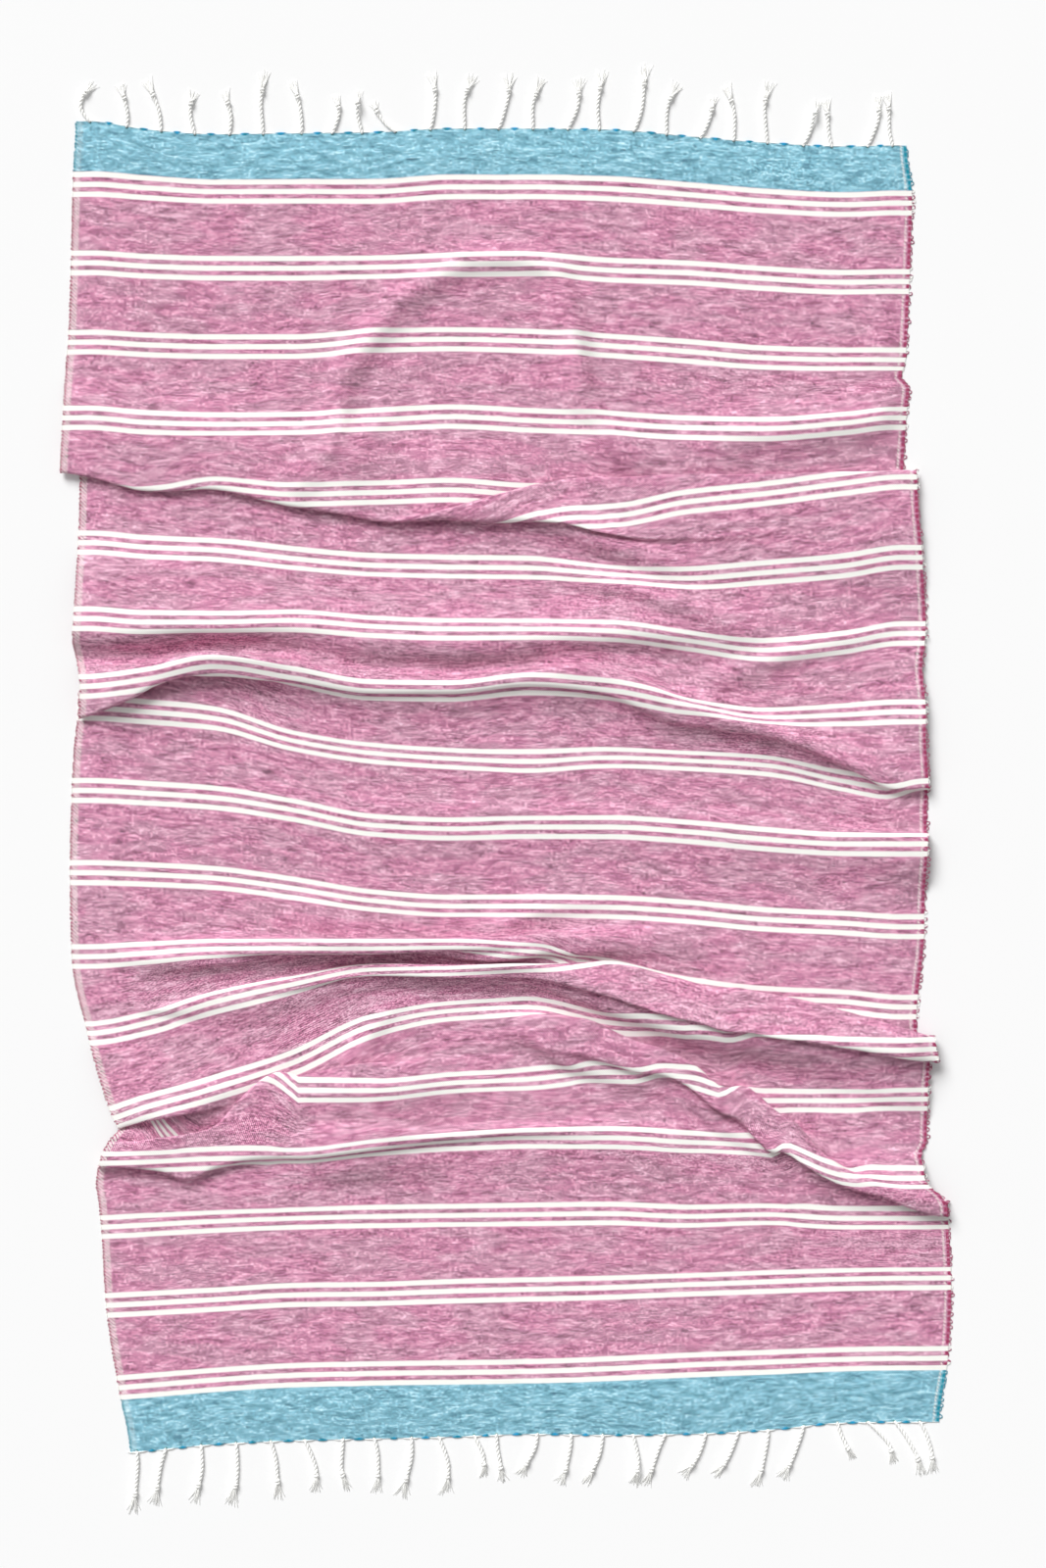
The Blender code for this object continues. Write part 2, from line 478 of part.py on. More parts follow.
def section_places(u, v, heading):
    """Places along each column for the model's rows, crowded where the cloth turns."""
    bend = np.abs(np.gradient(heading, axis=1)) / (v[1] - v[0])
    total = np.cumsum(EVEN_SHARE + blurred(blurred(bend, 2, 1), 1, 0), 1)
    breaks = [(np.zeros(len(u)), ROWS_AT_HEAD)]
    for patch in PATCHES:
        for curve, rows in zip((patch.begins, *patch.parted), patch.rows):
            breaks.append((through(curve.at, curve.value, u), rows))
        breaks.append((through(patch.ends.at, patch.ends.value, u), ROWS_BETWEEN))
    breaks[-1] = (breaks[-1][0], ROWS_AT_FOOT)
    breaks.append((np.full(len(u), CLOTH_LENGTH), 0))
    columns = []
    for i in range(len(u)):
        places = []
        for (here, rows), (there, _) in zip(breaks, breaks[1:]):
            if np.abs(there - here).max() < 1.0:
                continue
            a, b = np.interp([here[i], there[i]], v, total[i])
            places += list(np.interp(a + (b - a) * np.arange(rows) / rows, total[i], v))
        columns.append(places + [CLOTH_LENGTH])
    return np.array(columns)


def at_sections(places, v, values):
    return np.array([np.interp(place, v, row) for place, row in zip(places, values)])


# ---- building ------------------------------------------------------------------------------------
def object_from(name, points, faces, colour, roughness):
    mesh = bpy.data.meshes.new(name)
    mesh.from_pydata([tuple(point) for point in points], [], faces)
    body = bmesh.new()
    body.from_mesh(mesh)
    bmesh.ops.recalc_face_normals(body, faces=body.faces)
    body.to_mesh(mesh)
    body.free()
    mesh.update()
    material = bpy.data.materials.new(name + "_material")
    material.use_nodes = True
    shader = material.node_tree.nodes["Principled BSDF"]
    shader.inputs["Base Color"].default_value = (*colour, 1.0)
    shader.inputs["Roughness"].default_value = roughness
    mesh.materials.append(material)
    made = bpy.data.objects.new(name, mesh)
    bpy.context.scene.collection.objects.link(made)
    return made


def sheet_body(middle):
    """A closed sheet of the cloth's thickness about a grid of middle points (columns x rows x 3)."""
    across = np.gradient(middle, axis=0)
    along = np.gradient(middle, axis=1)
    normal = np.cross(along, across)
    normal /= np.linalg.norm(normal, axis=2)[:, :, None]
    upper = middle + normal * CLOTH_THICKNESS / 2
    lower = middle - normal * CLOTH_THICKNESS / 2
    lower[:, :, 2] = np.where(lower[:, :, 2] < LYING_FLAT, 0.0, lower[:, :, 2])
    columns, rows = middle.shape[:2]
    points = np.concatenate([upper.reshape(-1, 3), lower.reshape(-1, 3)])
    top = np.arange(columns * rows).reshape(columns, rows)
    bottom = top + columns * rows
    faces = []
    for i in range(columns - 1):
        for j in range(rows - 1):
            a, b, c, d = top[i, j], top[i + 1, j], top[i + 1, j + 1], top[i, j + 1]
            faces += [(a, b, c), (a, c, d)]
            a, b, c, d = bottom[i, j], bottom[i + 1, j], bottom[i + 1, j + 1], bottom[i, j + 1]
            faces += [(a, c, b), (a, d, c)]
    rim = [(i, 0) for i in range(columns)]
    rim += [(columns - 1, j) for j in range(1, rows)]
    rim += [(i, rows - 1) for i in range(columns - 2, -1, -1)]
    rim += [(0, j) for j in range(rows - 2, 0, -1)]
    for here, there in zip(rim, rim[1:] + rim[:1]):
        faces += [(top[here], bottom[here], bottom[there]), (top[here], bottom[there], top[there])]
    return points, [tuple(int(k) for k in face) for face in faces]


def comb_body(edge_x, edge_down, way, cords):
    """A fringe as one comb: a thin header along an end edge, with every cord drawn out of its outer side."""
    stations = set(float(value) for value in edge_x)
    ends = (float(edge_x[0]), float(edge_x[-1]))
    for cord in cords:
        stations -= {s for s in stations if abs(s - cord.root) < CORD_WIDTH and s not in ends}
        stations |= {cord.root - CORD_WIDTH / 2, cord.root + CORD_WIDTH / 2}
    stations = sorted(stations)
    near = np.interp(stations, edge_x, edge_down) + way * SEAT_GAP
    far = near + way * HEADER_DEPTH
    points = []
    for x, inner, outer in zip(stations, near, far):
        points += [(x, inner, 0.0), (x, inner, HEADER_HEIGHT), (x, outer, HEADER_HEIGHT), (x, outer, 0.0)]
    faces = [(0, 1, 2), (0, 2, 3)]
    end = 4 * (len(stations) - 1)
    faces += [(end, end + 2, end + 1), (end, end + 3, end + 2)]
    roots = {round(cord.root - CORD_WIDTH / 2, 6): cord for cord in cords}
    for k in range(len(stations) - 1):
        ring = [4 * k + n for n in range(4)]
        after = [n + 4 for n in ring]
        for n in range(4):
            m = (n + 1) % 4
            if n == 2 and round(stations[k], 6) in roots:
                continue
            faces += [(ring[n], ring[m], after[m]), (ring[n], after[m], after[n])]
        if round(stations[k], 6) in roots:
            cord = roots[round(stations[k], 6)]
            last = [ring[2], after[2], after[3], ring[3]]
            start_down = (far[k] + far[k + 1]) / 2
            for share, swell in CORD_SECTIONS:
                x = cord.root + cord.aside * share + cord.bow * math.sin(math.pi * share)
                down = start_down + way * (cord.out - HEADER_DEPTH) * share
                half = CORD_WIDTH / 2 * swell
                height = CORD_HEIGHT * swell
                base = len(points)
                points += [(x - half, down, height), (x + half, down, height),
                           (x + half, down, 0.0), (x - half, down, 0.0)]
                ring_now = [base, base + 1, base + 2, base + 3]
                for n in range(4):
                    m = (n + 1) % 4
                    faces += [(last[n], last[m], ring_now[m]), (last[n], ring_now[m], ring_now[n])]
                last = ring_now
            faces += [(last[0], last[1], last[2]), (last[0], last[2], last[3])]
    return points, faces


u, v, x, down, z, heading = lying_cloth()
kept = list(KEPT_COLUMNS)
places = section_places(u, v, heading)[kept]
middle = np.stack([
    at_sections(places, v, x[kept]),
    at_sections(places, v, down[kept]),
    at_sections(places, v, z[kept]) + CLOTH_THICKNESS / 2], axis=2)
cloth_points, cloth_faces = sheet_body(middle)
head_points, head_faces = comb_body(middle[:, 0, 0], middle[:, 0, 1], -1.0, HEAD_CORDS)
foot_points, foot_faces = comb_body(middle[:, -1, 0], middle[:, -1, 1], 1.0, FOOT_CORDS)

everything = np.concatenate([cloth_points, head_points, foot_points])
centre_x = (everything[:, 0].min() + everything[:, 0].max()) / 2
centre_down = (everything[:, 1].min() + everything[:, 1].max()) / 2


def in_model(points):
    """Table millimetres to metres about the middle of the whole towel, head end towards +Y."""
    points = np.array(points, float)
    return np.stack([points[:, 0] - centre_x, centre_down - points[:, 1], points[:, 2]], axis=1) * MM


object_from("towel_cloth", in_model(cloth_points), cloth_faces, CLOTH_COLOUR, CLOTH_ROUGHNESS)
object_from("fringe_head", in_model(head_points), head_faces, CORD_COLOUR, CORD_ROUGHNESS)
object_from("fringe_foot", in_model(foot_points), foot_faces, CORD_COLOUR, CORD_ROUGHNESS)
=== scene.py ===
"""Striped hammam towel lying rumpled on a pale table, seen from straight above."""

from collections import namedtuple
import math

import bmesh
import bpy
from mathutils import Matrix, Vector
import numpy as np


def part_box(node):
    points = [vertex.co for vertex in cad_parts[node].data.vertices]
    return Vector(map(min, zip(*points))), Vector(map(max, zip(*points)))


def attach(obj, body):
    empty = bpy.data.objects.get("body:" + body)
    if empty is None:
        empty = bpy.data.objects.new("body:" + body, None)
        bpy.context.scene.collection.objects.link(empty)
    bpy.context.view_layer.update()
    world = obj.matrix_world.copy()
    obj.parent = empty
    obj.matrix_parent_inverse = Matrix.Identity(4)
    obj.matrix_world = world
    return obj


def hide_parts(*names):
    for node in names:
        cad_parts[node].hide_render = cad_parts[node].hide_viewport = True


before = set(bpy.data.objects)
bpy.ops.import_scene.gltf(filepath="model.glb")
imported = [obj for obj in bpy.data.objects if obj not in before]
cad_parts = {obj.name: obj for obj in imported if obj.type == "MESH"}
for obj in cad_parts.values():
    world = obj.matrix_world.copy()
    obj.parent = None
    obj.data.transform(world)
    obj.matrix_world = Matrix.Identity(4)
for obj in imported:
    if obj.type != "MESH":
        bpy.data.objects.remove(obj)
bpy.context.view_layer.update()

# ==== the woven cloth ==============================================================================
# One length of flat cotton twill: white warp, slubby pink and plum weft, groups of three white lines woven
# across it and a turquoise band at each end. Nothing holds it: it lies on the table in uneven pleats that
# fold back and forth.

# Tables are in millimetres. On the flat cloth, "across" is from the left selvedge and "along" from the head
# end; on the table, "x" and "down" are from the head's left corner.
MM = 0.001
CLOTH_WIDTH = 918.0
CLOTH_THICKNESS = 1.0
HEAD_BAND = 50.0
FOOT_BAND = 58.0
LINE_WIDTH = 6.0
LINE_GAP = 4.5
LINES_IN_GROUP = 3
GROUPS = 20
CLOSE_PITCH = 84.0
WIDE_PITCH = 87.0
CLOSE_STEPS = 9
GROUP_WIDTH = LINES_IN_GROUP * LINE_WIDTH + (LINES_IN_GROUP - 1) * LINE_GAP


def group_start(number):
    """Place along the cloth where a stripe group begins; the first group is number 1."""
    steps = number - 1
    return HEAD_BAND + CLOSE_PITCH * min(steps, CLOSE_STEPS) + WIDE_PITCH * max(steps - CLOSE_STEPS, 0)


CLOTH_LENGTH = group_start(GROUPS) + GROUP_WIDTH + FOOT_BAND
# the sheet's mesh: strips across, the working step along, how many rows stand for each one in a patch's
# table, and the weight that flat cloth has beside bent cloth when the rows are dealt out
FINE_STRIPS = 104
FINE_STEP = 1.5
ROWS_FINER = 4
EVEN_SHARE = 0.035

Curve = namedtuple("Curve", "at value")
HEAD_EDGE = Curve(
    at=(0, 15, 35, 78, 150, 235, 320, 405, 490, 575, 660, 745, 830, 890, 910, 918),
    value=(-1, 0, 4, 9.5, 13.5, 13, 12.5, 7.5, 8.5, 9.5, 16, 23, 27, 26.5, 29, 36))
LEFT_EDGE = Curve(
    at=(0, 63, 147, 231, 250, 315, 378, 493, 567, 651, 680, 735, 772, 828, 860, 906, 993, 1080, 1167,
        1255, 1269, 1330, 1385, 1405, 1419, 1429, 1468, 1481, 1516, 1603, 1690, 1761),
    value=(3, 0, -2, -5, -7, -9.5, -12.5, 7.5, 6, 3, 1.5, 9.5, 7.5, 5, 1.5, -1, -3, -1, 16,
           44, 50, 51, 49, 39, 32.5, 30, 25, 27, 30.5, 35.5, 49, 61))
BREADTH = Curve(
    at=(0, 63, 147, 231, 252, 275, 315, 378, 493, 567, 651, 735, 819, 906, 993, 1080, 1167, 1255, 1290,
        1341, 1400, 1419, 1429, 1468, 1480, 1516, 1603, 1690, 1761),
    value=(889, 898, 897, 896, 893, 903, 901, 901, 895, 902, 909, 902, 909, 914, 914, 904, 893, 878, 866,
           863, 866, 877, 880, 909, 908, 906, 904, 887, 866))

# A rising fold turns back over itself and shows a lip towards the head; a falling one shows its lip
# towards the foot. Each fold's table reads: where across, where along its lip lies, how much length it takes
# up. Its turns are the lengths of cloth that bend at its lip and at its inner end.
RISE = 1.0
FALL = -1.0
Fold = namedtuple("Fold", "name way lip_turn inner_turn across place taken_up")
Patch = namedtuple("Patch", "name begins folds ends parted rows")

PLEAT_START = Curve(at=(0, 320, 460, 918), value=(250, 285, 330, 330))
PLEAT_END = Curve(at=(0, 404, 572, 656, 740, 918), value=(520, 545, 575, 600, 625, 650))
CREST_END = Curve(at=(0, 146, 482, 734, 918), value=(845, 855, 838, 850, 860))
WAVE_END = Curve(at=(0, 918), value=(975, 975))
RIDGE_START = Curve(at=(0, 918), value=(1000, 1000))
RIDGE_END = Curve(at=(0, 447, 489, 573, 657, 741, 825, 918),
                  value=(1122, 1122, 1110, 1080, 1072, 1074, 1084, 1100))
SECOND_END = Curve(
    at=(0, 80, 153, 321, 489, 573, 657, 741, 825, 888, 918),
    value=(1140, 1170, 1215, 1225, 1240, 1262, 1290, 1318, 1345, 1375, 1380))
SLANT_END = Curve(
    at=(0, 33, 69, 98, 131, 164, 230, 306, 430, 547, 634, 722, 777, 850, 918),
    value=(1375, 1365, 1335, 1325, 1305, 1290, 1270, 1290, 1310, 1370, 1400, 1450, 1488, 1505, 1512))
FLAP_END = Curve(at=(0, 98, 160, 460, 918), value=(1490, 1500, 1490, 1500, 1540))
# where one fold of a patch ends and its next begins
PLEAT_PARTED = Curve(at=(0, 79, 152, 236, 320, 404, 467, 525, 572, 656, 740, 918),
                     value=(366, 380, 390, 402, 417, 442, 458, 468, 475, 492, 500, 505))
CREST_PARTED = Curve(at=(0, 918), value=(696, 692))
VALLEY_PARTED = Curve(at=(0, 60, 146, 482, 560, 650, 734, 818, 918),
                      value=(744, 738, 732, 731, 730, 748, 762, 785, 805))
RIDGE_PARTED = Curve(at=(0, 405, 460, 500, 540, 573, 620, 918),
                     value=(1082, 1078, 1073, 1064, 1048, 1040, 1036, 1036))
SECOND_PARTED = Curve(at=(0, 80, 153, 405, 489, 573, 657, 741, 825, 888, 918),
                      value=(1131, 1148, 1170, 1174, 1181, 1196, 1208, 1222, 1236, 1250, 1256))
SLANT_PARTED = Curve(
    at=(0, 20, 49, 88, 130, 230, 306, 400, 460, 547, 634, 678, 722, 744, 777, 810, 875, 918),
    value=(1298, 1296, 1288, 1282, 1276, 1245, 1258, 1272, 1290, 1308, 1333, 1356, 1384, 1398, 1415, 1428,
           1450, 1458))
FLAP_PARTED = Curve(
    at=(0, 98, 131, 164, 197, 230, 306, 400, 540, 634, 722, 777, 850, 918),
    value=(1415, 1412, 1388, 1366, 1348, 1340, 1346, 1370, 1388, 1408, 1462, 1496, 1512, 1520))

PATCHES = [
    Patch("upper pleat", PLEAT_START, [
        Fold("north lip", RISE, 9, 9,
             across=(270, 330, 404, 467, 525, 572, 656, 740, 824, 887),
             place=(428, 430, 436, 441, 442, 442, 452, 462, 469, 476),
             taken_up=(0, 1, 15, 40, 59, 68, 87, 99, 101, 102)),
        Fold("south lip", FALL, (10, 10, 10, 10, 12, 14, 25, 22, 12, 10, 10, 10, 10), 9,
             across=(0, 16, 79, 152, 236, 320, 404, 467, 525, 572, 656, 740, 800),
             place=(378, 380, 391, 401, 413, 428, 449, 475, 489, 504, 525, 530, 530),
             taken_up=(116, 116, 116, 116, 107, 96, 79, 50, 28, 10, 1, 0.4, 0)),
    ], PLEAT_END, parted=(PLEAT_PARTED,), rows=(8, 10)),
    Patch("crests about the eighth and ninth groups", PLEAT_END, [
        Fold("crest", FALL, 46, 46,
             across=(9, 79, 146, 230, 314, 398, 482, 560, 630, 700, 918),
             place=(682, 676, 672, 676, 682, 682, 680, 672, 664, 656, 656),
             taken_up=(7, 11, 12, 8, 6, 7, 7, 8, 5, 1, 0)),
        Fold("north side", RISE, 36, 36,
             across=(9, 60, 146, 230, 314, 398, 482, 545, 576, 620, 650, 700, 734, 786, 818, 918),
             place=(716, 716, 714, 714, 714, 716, 717, 708, 712, 718, 728, 742, 748, 762, 770, 780),
             taken_up=(7, 12, 20, 14, 8, 9, 14, 13, 11, 9, 8, 6, 5, 4, 2, 0)),
        Fold("south lip", FALL, 12, 12,
             across=(0, 9, 60, 85, 112, 146, 188, 230, 314, 398, 482, 560, 650, 692, 734, 786, 818, 881,
                     918),
             place=(772, 770, 755, 746, 744, 749, 748, 743, 741, 739, 739, 742, 765, 768, 772, 785, 795,
                    815, 820),
             taken_up=(62, 60, 55, 45, 39, 25, 12, 4, 2, 2, 2, 2, 2, 3, 3, 4, 5, 10, 14)),
    ], CREST_END, parted=(CREST_PARTED, VALLEY_PARTED), rows=(7, 6, 8)),
    Patch("right wave", CREST_END, [
        Fold("north lip", RISE, 20, 20,
             across=(150, 230, 320, 482, 573, 657, 741, 825, 880, 918),
             place=(880, 880, 880, 880, 882, 884, 886, 890, 892, 894),
             taken_up=(0, 0.4, 0.6, 0.8, 0.8, 1, 2, 4, 8, 10)),
    ], WAVE_END, parted=(), rows=(5,)),
    Patch("first ridge", RIDGE_START, [
        Fold("north side", RISE, 28, 28,
             across=(10, 80, 153, 237, 321, 405, 460, 500, 540, 573, 620, 720),
             place=(1070, 1070, 1068, 1066, 1064, 1062, 1058, 1050, 1036, 1026, 1020, 1015),
             taken_up=(0, 1, 5, 15, 22, 18, 14, 11, 8, 5, 2, 0)),
        Fold("slit", FALL, 18, 18,
             across=(30, 80, 153, 237, 321, 405, 447, 489, 552, 620),
             place=(1094, 1094, 1093, 1092, 1092, 1090, 1086, 1076, 1058, 1050),
             taken_up=(0, 0.4, 1, 16, 26, 9, 3, 1, 0.5, 0)),
    ], RIDGE_END, parted=(RIDGE_PARTED,), rows=(6, 5)),
    Patch("second ridge", RIDGE_END, [
        Fold("north lip", RISE,
             lip_turn=(14, 14, 16, 18, 18, 20, 22, 24, 24, 24, 24, 24, 24, 24),
             inner_turn=(12, 12, 14, 18, 18, 16, 14, 12, 9, 8, 8, 8, 8, 8),
             across=(30, 80, 153, 237, 321, 405, 447, 489, 573, 657, 741, 825, 888, 918),
             place=(1150, 1152, 1158, 1158, 1158, 1161, 1163, 1166, 1176, 1182, 1193, 1212, 1230, 1238),
             taken_up=(0, 1, 2, 4, 10, 26, 40, 54, 90, 108, 115, 120, 128, 128)),
        Fold("south lip", FALL, 9, 8,
             across=(180, 237, 269, 321, 405, 489, 510, 552, 594, 657, 741, 825, 888, 918),
             place=(1178, 1178, 1178, 1180, 1187, 1194, 1199, 1212, 1224, 1232, 1247, 1257, 1268, 1272),
             taken_up=(0, 1, 3, 6, 9, 9, 9, 10, 13, 18, 22, 22, 22, 22)),
    ], SECOND_END, parted=(SECOND_PARTED,), rows=(8, 8)),
    Patch("slanting ridge and left lip", SECOND_END, [
        Fold("ridge north side", RISE, 18, 18,
             across=(400, 430, 460, 503, 547, 634, 678, 722, 744, 810, 875, 918),
             place=(1258, 1263, 1268, 1276, 1290, 1318, 1340, 1364, 1376, 1411, 1438, 1440),
             taken_up=(0, 1, 6, 21, 36, 30, 30, 34, 30, 12, 2, 0)),
        Fold("ridge south side", FALL, 14, 12,
             across=(460, 547, 634, 678, 722, 744, 777, 810, 842, 875, 918),
             place=(1310, 1327, 1350, 1374, 1404, 1419, 1435, 1445, 1456, 1468, 1476),
             taken_up=(0, 5, 10, 10, 13, 17, 27, 38, 42, 43, 44)),
        Fold("left lip", FALL, 10, 9,
             across=(0, 4, 20, 33, 49, 65, 88, 130),
             place=(1269, 1269, 1271, 1272, 1274, 1275, 1277, 1278),
             taken_up=(116, 113, 100, 80, 52, 30, 8, 0)),
    ], SLANT_END, parted=(SLANT_PARTED,), rows=(8, 8)),
    Patch("left flap", SLANT_END, [
        Fold("flap lip", RISE, 10, 9,
             across=(0, 31, 49, 69, 98, 131, 164, 197, 230, 263, 306, 400),
             place=(1405, 1402, 1399, 1397, 1397, 1374, 1352, 1330, 1322, 1315, 1310, 1310),
             taken_up=(0, 18, 46, 68, 98, 100, 92, 74, 54, 32, 10, 0)),
        Fold("middle rise", RISE, 24, 24,
             across=(200, 240, 284, 330, 372, 460, 540, 634, 760),
             place=(1385, 1390, 1395, 1405, 1414, 1414, 1414, 1412, 1410),
             taken_up=(0, 2, 4, 5, 4, 3, 2, 1, 0)),
        Fold("seventeenth group", FALL, 16, 16,
             across=(0, 33, 69, 98, 131, 164, 197, 284, 372, 460, 600),
             place=(1437, 1438, 1444, 1456, 1442, 1434, 1432, 1433, 1428, 1425, 1425),
             taken_up=(12, 15, 9, 6, 5, 5, 4, 4, 3, 2, 0)),
    ], FLAP_END, parted=(FLAP_PARTED,), rows=(7, 7)),
]
ROWS_BETWEEN = 1
ROWS_AT_HEAD = 10
ROWS_AT_FOOT = 5

# How far down the table each end edge and each group's middle line lie, at the x of SEEN_AT; HID where the
# group is tucked under a fold.
HID = None
SEEN_AT = (16, 79, 152, 236, 320, 404, 488, 572, 656, 740, 824, 887)
Seen = namedtuple("Seen", "name along down")


def middle_of(number):
    return group_start(number) + GROUP_WIDTH / 2


STRIPES_LIE = [
    Seen("head edge", 0.0, (0, 9, 14, 13, 12, 8, 8, 9, 16, 23, 27, 26)),
    Seen("1", middle_of(1), (67, 71, 75, 75, 75, 70, 70, 72, 78, 85, 89, 87)),
    Seen("2", middle_of(2), (151, 155, 157, 157, 156, 154, 153, 159, 162, 168, 172, 171)),
    Seen("3", middle_of(3), (236, 239, 241, 241, 235, 233, 235, 240, 246, 253, 255, 255)),
    Seen("4", middle_of(4), (318, 323, 325, 324, 320, 316, 320, 323, 328, 330, 324, 317)),
    Seen("5", middle_of(5), (HID, HID, 393, 400, 398, 395, 400, HID, HID, HID, HID, HID)),
    Seen("6", middle_of(6), (364, 371, HID, HID, HID, HID, HID, 423, 408, 399, 388, 381)),
    Seen("7", middle_of(7), (451, 456, 459, 468, 475, 477, 478, 485, 489, 483, 476, 467)),
    Seen("8", middle_of(8), (533, 537, 537, 535, 541, 544, 544, 546, 556, 566, 558, 548)),
    Seen("9", middle_of(9), (605, 598, 584, 596, 610, 611, 603, 609, 625, 638, 635, 632)),
    Seen("10", middle_of(10), (628, 632, 639, 663, 676, 682, 685, 681, 684, 689, 706, 715)),
    Seen("11", middle_of(11), (716, 719, 724, 737, 753, 757, 755, 755, 760, 768, 773, 773)),
    Seen("12", middle_of(12), (804, 806, 810, 821, 834, 840, 840, 841, 846, 854, 858, 862)),
    Seen("13", middle_of(13), (894, 890, 885, 884, 884, 883, 887, 906, 928, 938, 942, 948)),
    Seen("14", middle_of(14), (976, 965, 942, 923, 907, 905, 901, 903, HID, HID, HID, HID)),
    Seen("15", middle_of(15), (1072, 1054, 1034, 1007, 968, 952, 948, 964, 969, HID, 990, 992)),
    Seen("16", middle_of(16), (HID, HID, HID, 1036, 1036, 1029, 1025, 1017, 1021, 1048, 1048, 1046)),
    Seen("17", middle_of(17), (1114, 1112, 1109, 1108, 1098, 1091, 1087, 1087, 1092, 1097, 1126, 1130)),
    Seen("18", middle_of(18), (1184, 1181, 1177, 1174, 1172, 1171, 1170, 1169, 1172, 1170, 1174, 1174)),
    Seen("19", middle_of(19), (1268, 1265, 1261, 1256, 1255, 1252, 1250, 1248, 1245, 1242, 1239, 1238)),
    Seen("20", middle_of(20), (1358, 1353, 1347, 1342, 1340, 1339, 1338, 1335, 1331, 1328, 1325, 1324)),
    Seen("foot edge", CLOTH_LENGTH,
         (1428, 1424, 1417, 1413, 1411, 1409, 1406, 1407, 1406, 1402, 1394, 1393)),
]

# Soft creases that every layer shares: ridges, or troughs where the height is negative, whose middle line
# runs through the given places on the table.
Crease = namedtuple("Crease", "name x down high spread")
CREASES = [
    Crease("arch over the third group", (243, 282, 291, 350, 418, 472, 517, 536, 544, 602),
           (392, 339, 268, 193, 151, 145, 163, 222, 300, 365), (5, 9, 11, 11, 10, 9, 11, 14, 12, 6), 13),
    Crease("inside the arch, left", (290, 320, 345), (380, 330, 300), (2, 5, 2), 13),
    Crease("head crease, left", (247, 251, 250), (8, 60, 105), (1.2, 2.2, 0.8), 8),
    Crease("head crease, middle", (453, 454, 458), (8, 60, 140), (-1.6, -1.4, -0.4), 7),
    Crease("rise above the right lip", (620, 660, 720, 800, 905), (352, 346, 336, 326, 316),
           (1, 5, 11, 13, 12), 24),
    Crease("dip by the right lip's start", (545, 575, 610), (352, 350, 356), (2, 8, 2), 15),
    Crease("left of the seventh group", (0, 60, 150), (484, 488, 494), (7, 7, 2), 20),
    Crease("past the lip's end", (470, 525, 572, 625), (424, 434, 452, 476), (2, 13, 17, 7), 14),
    Crease("below the seventh group", (510, 550, 600, 655, 712), (484, 490, 501, 520, 542),
           (0, 6, 15, 16, 4), 13),
    Crease("between the eighth and ninth groups", (130, 220, 320, 420, 520, 590, 640),
           (570, 572, 575, 576, 574, 582, 592), (2, 6, 5, 8, 6, 5, 2), 12),
    Crease("slanting up to the right", (660, 700, 770, 866), (612, 596, 570, 546), (2, 6, 6, 2), 12),
    Crease("slanting down by the tenth group", (565, 630, 667, 706, 768, 850), (566, 598, 618, 638, 664, 698),
           (2, 7, 8, 8, 8, 6), 12),
    Crease("left of the tenth group", (0, 40, 100, 150), (618, 622, 630, 656), (6, 9, 7, 2), 22),
    Crease("left, above the slit", (225, 262, 305), (832, 852, 884), (2, 7, 2), 13),
    Crease("above the slit's end", (452, 480, 505, 560), (866, 852, 842, 834), (2, 6, 6, 2), 11),
    Crease("left of the slit", (80, 140, 200, 232), (903, 902, 901, 901), (3, 6, 6, 1), 11),
    Crease("right of the slit", (410, 450, 500), (902, 900, 890), (2, 6, 3), 11),
    Crease("down to the second ridge's end", (440, 520, 593, 656, 780, 905), (880, 912, 944, 968, 986, 994),
           (6, 11, 13, 17, 17, 13), 21),
    Crease("left shoulder, upper", (170, 205, 230), (930, 962, 1000), (2, 6, 2), 14),
    Crease("left shoulder, lower", (290, 306, 320, 345), (1020, 998, 972, 945), (2, 6, 6, 2), 10),
    Crease("over the left pocket", (30, 100, 150, 205), (1060, 1062, 1044, 1014), (6, 7, 6, 2), 18),
    Crease("under the sixteenth group", (200, 270, 350, 430), (1052, 1042, 1036, 1034), (1, 5, 5, 1), 18),
    Crease("over the slanting lip's end", (735, 800, 870, 915), (1106, 1122, 1142, 1150), (2, 7, 8, 6), 20),
    Crease("foot crease, left", (296, 302, 304), (1330, 1370, 1400), (2, 2.6, 1.4), 8),
    Crease("foot crease, middle", (478, 480, 479), (1200, 1320, 1398), (-0.8, -2.2, -1.8), 7),
    Crease("foot crease, right", (541, 545, 547), (1340, 1370, 1398), (1.2, 2.0, 1.2), 8),
]
# Faint waves that stand for handling: wavelengths along x and down, lag, height.
Ripple = namedtuple("Ripple", "x_wave down_wave lag high")
RIPPLES = [Ripple(310, 190, 0.4, 0.5), Ripple(-170, 240, 1.9, 0.4), Ripple(96, -150, 3.1, 0.25),
           Ripple(61, 83, 5.2, 0.14), Ripple(-44, 58, 0.9, 0.1)]
# creases and waves fade out over this width at the cloth's edges
EDGE_CALM = 34.0


def through(curve_at, curve_value, at):
    """A smooth line through the given values that never overshoots them."""
    x = np.asarray(curve_at, float)
    y = np.asarray(curve_value, float)
    gap = np.diff(x)
    slope = np.diff(y) / gap
    tangent = np.zeros(len(x))
    same = slope[:-1] * slope[1:] > 0
    safe = np.where(same, slope[:-1] + slope[1:], 1.0)
    tangent[1:-1] = np.where(same, 2 * slope[:-1] * slope[1:] / safe, 0.0)
    k = np.clip(np.searchsorted(x, at) - 1, 0, len(x) - 2)
    t = np.clip((at - x[k]) / gap[k], 0.0, 1.0)
    near = 2 * t**3 - 3 * t**2 + 1
    leave = t**3 - 2 * t**2 + t
    arrive = t**3 - t**2
    from_start = near * y[k] + leave * gap[k] * tangent[k]
    return from_start + (1 - near) * y[k + 1] + arrive * gap[k] * tangent[k + 1]


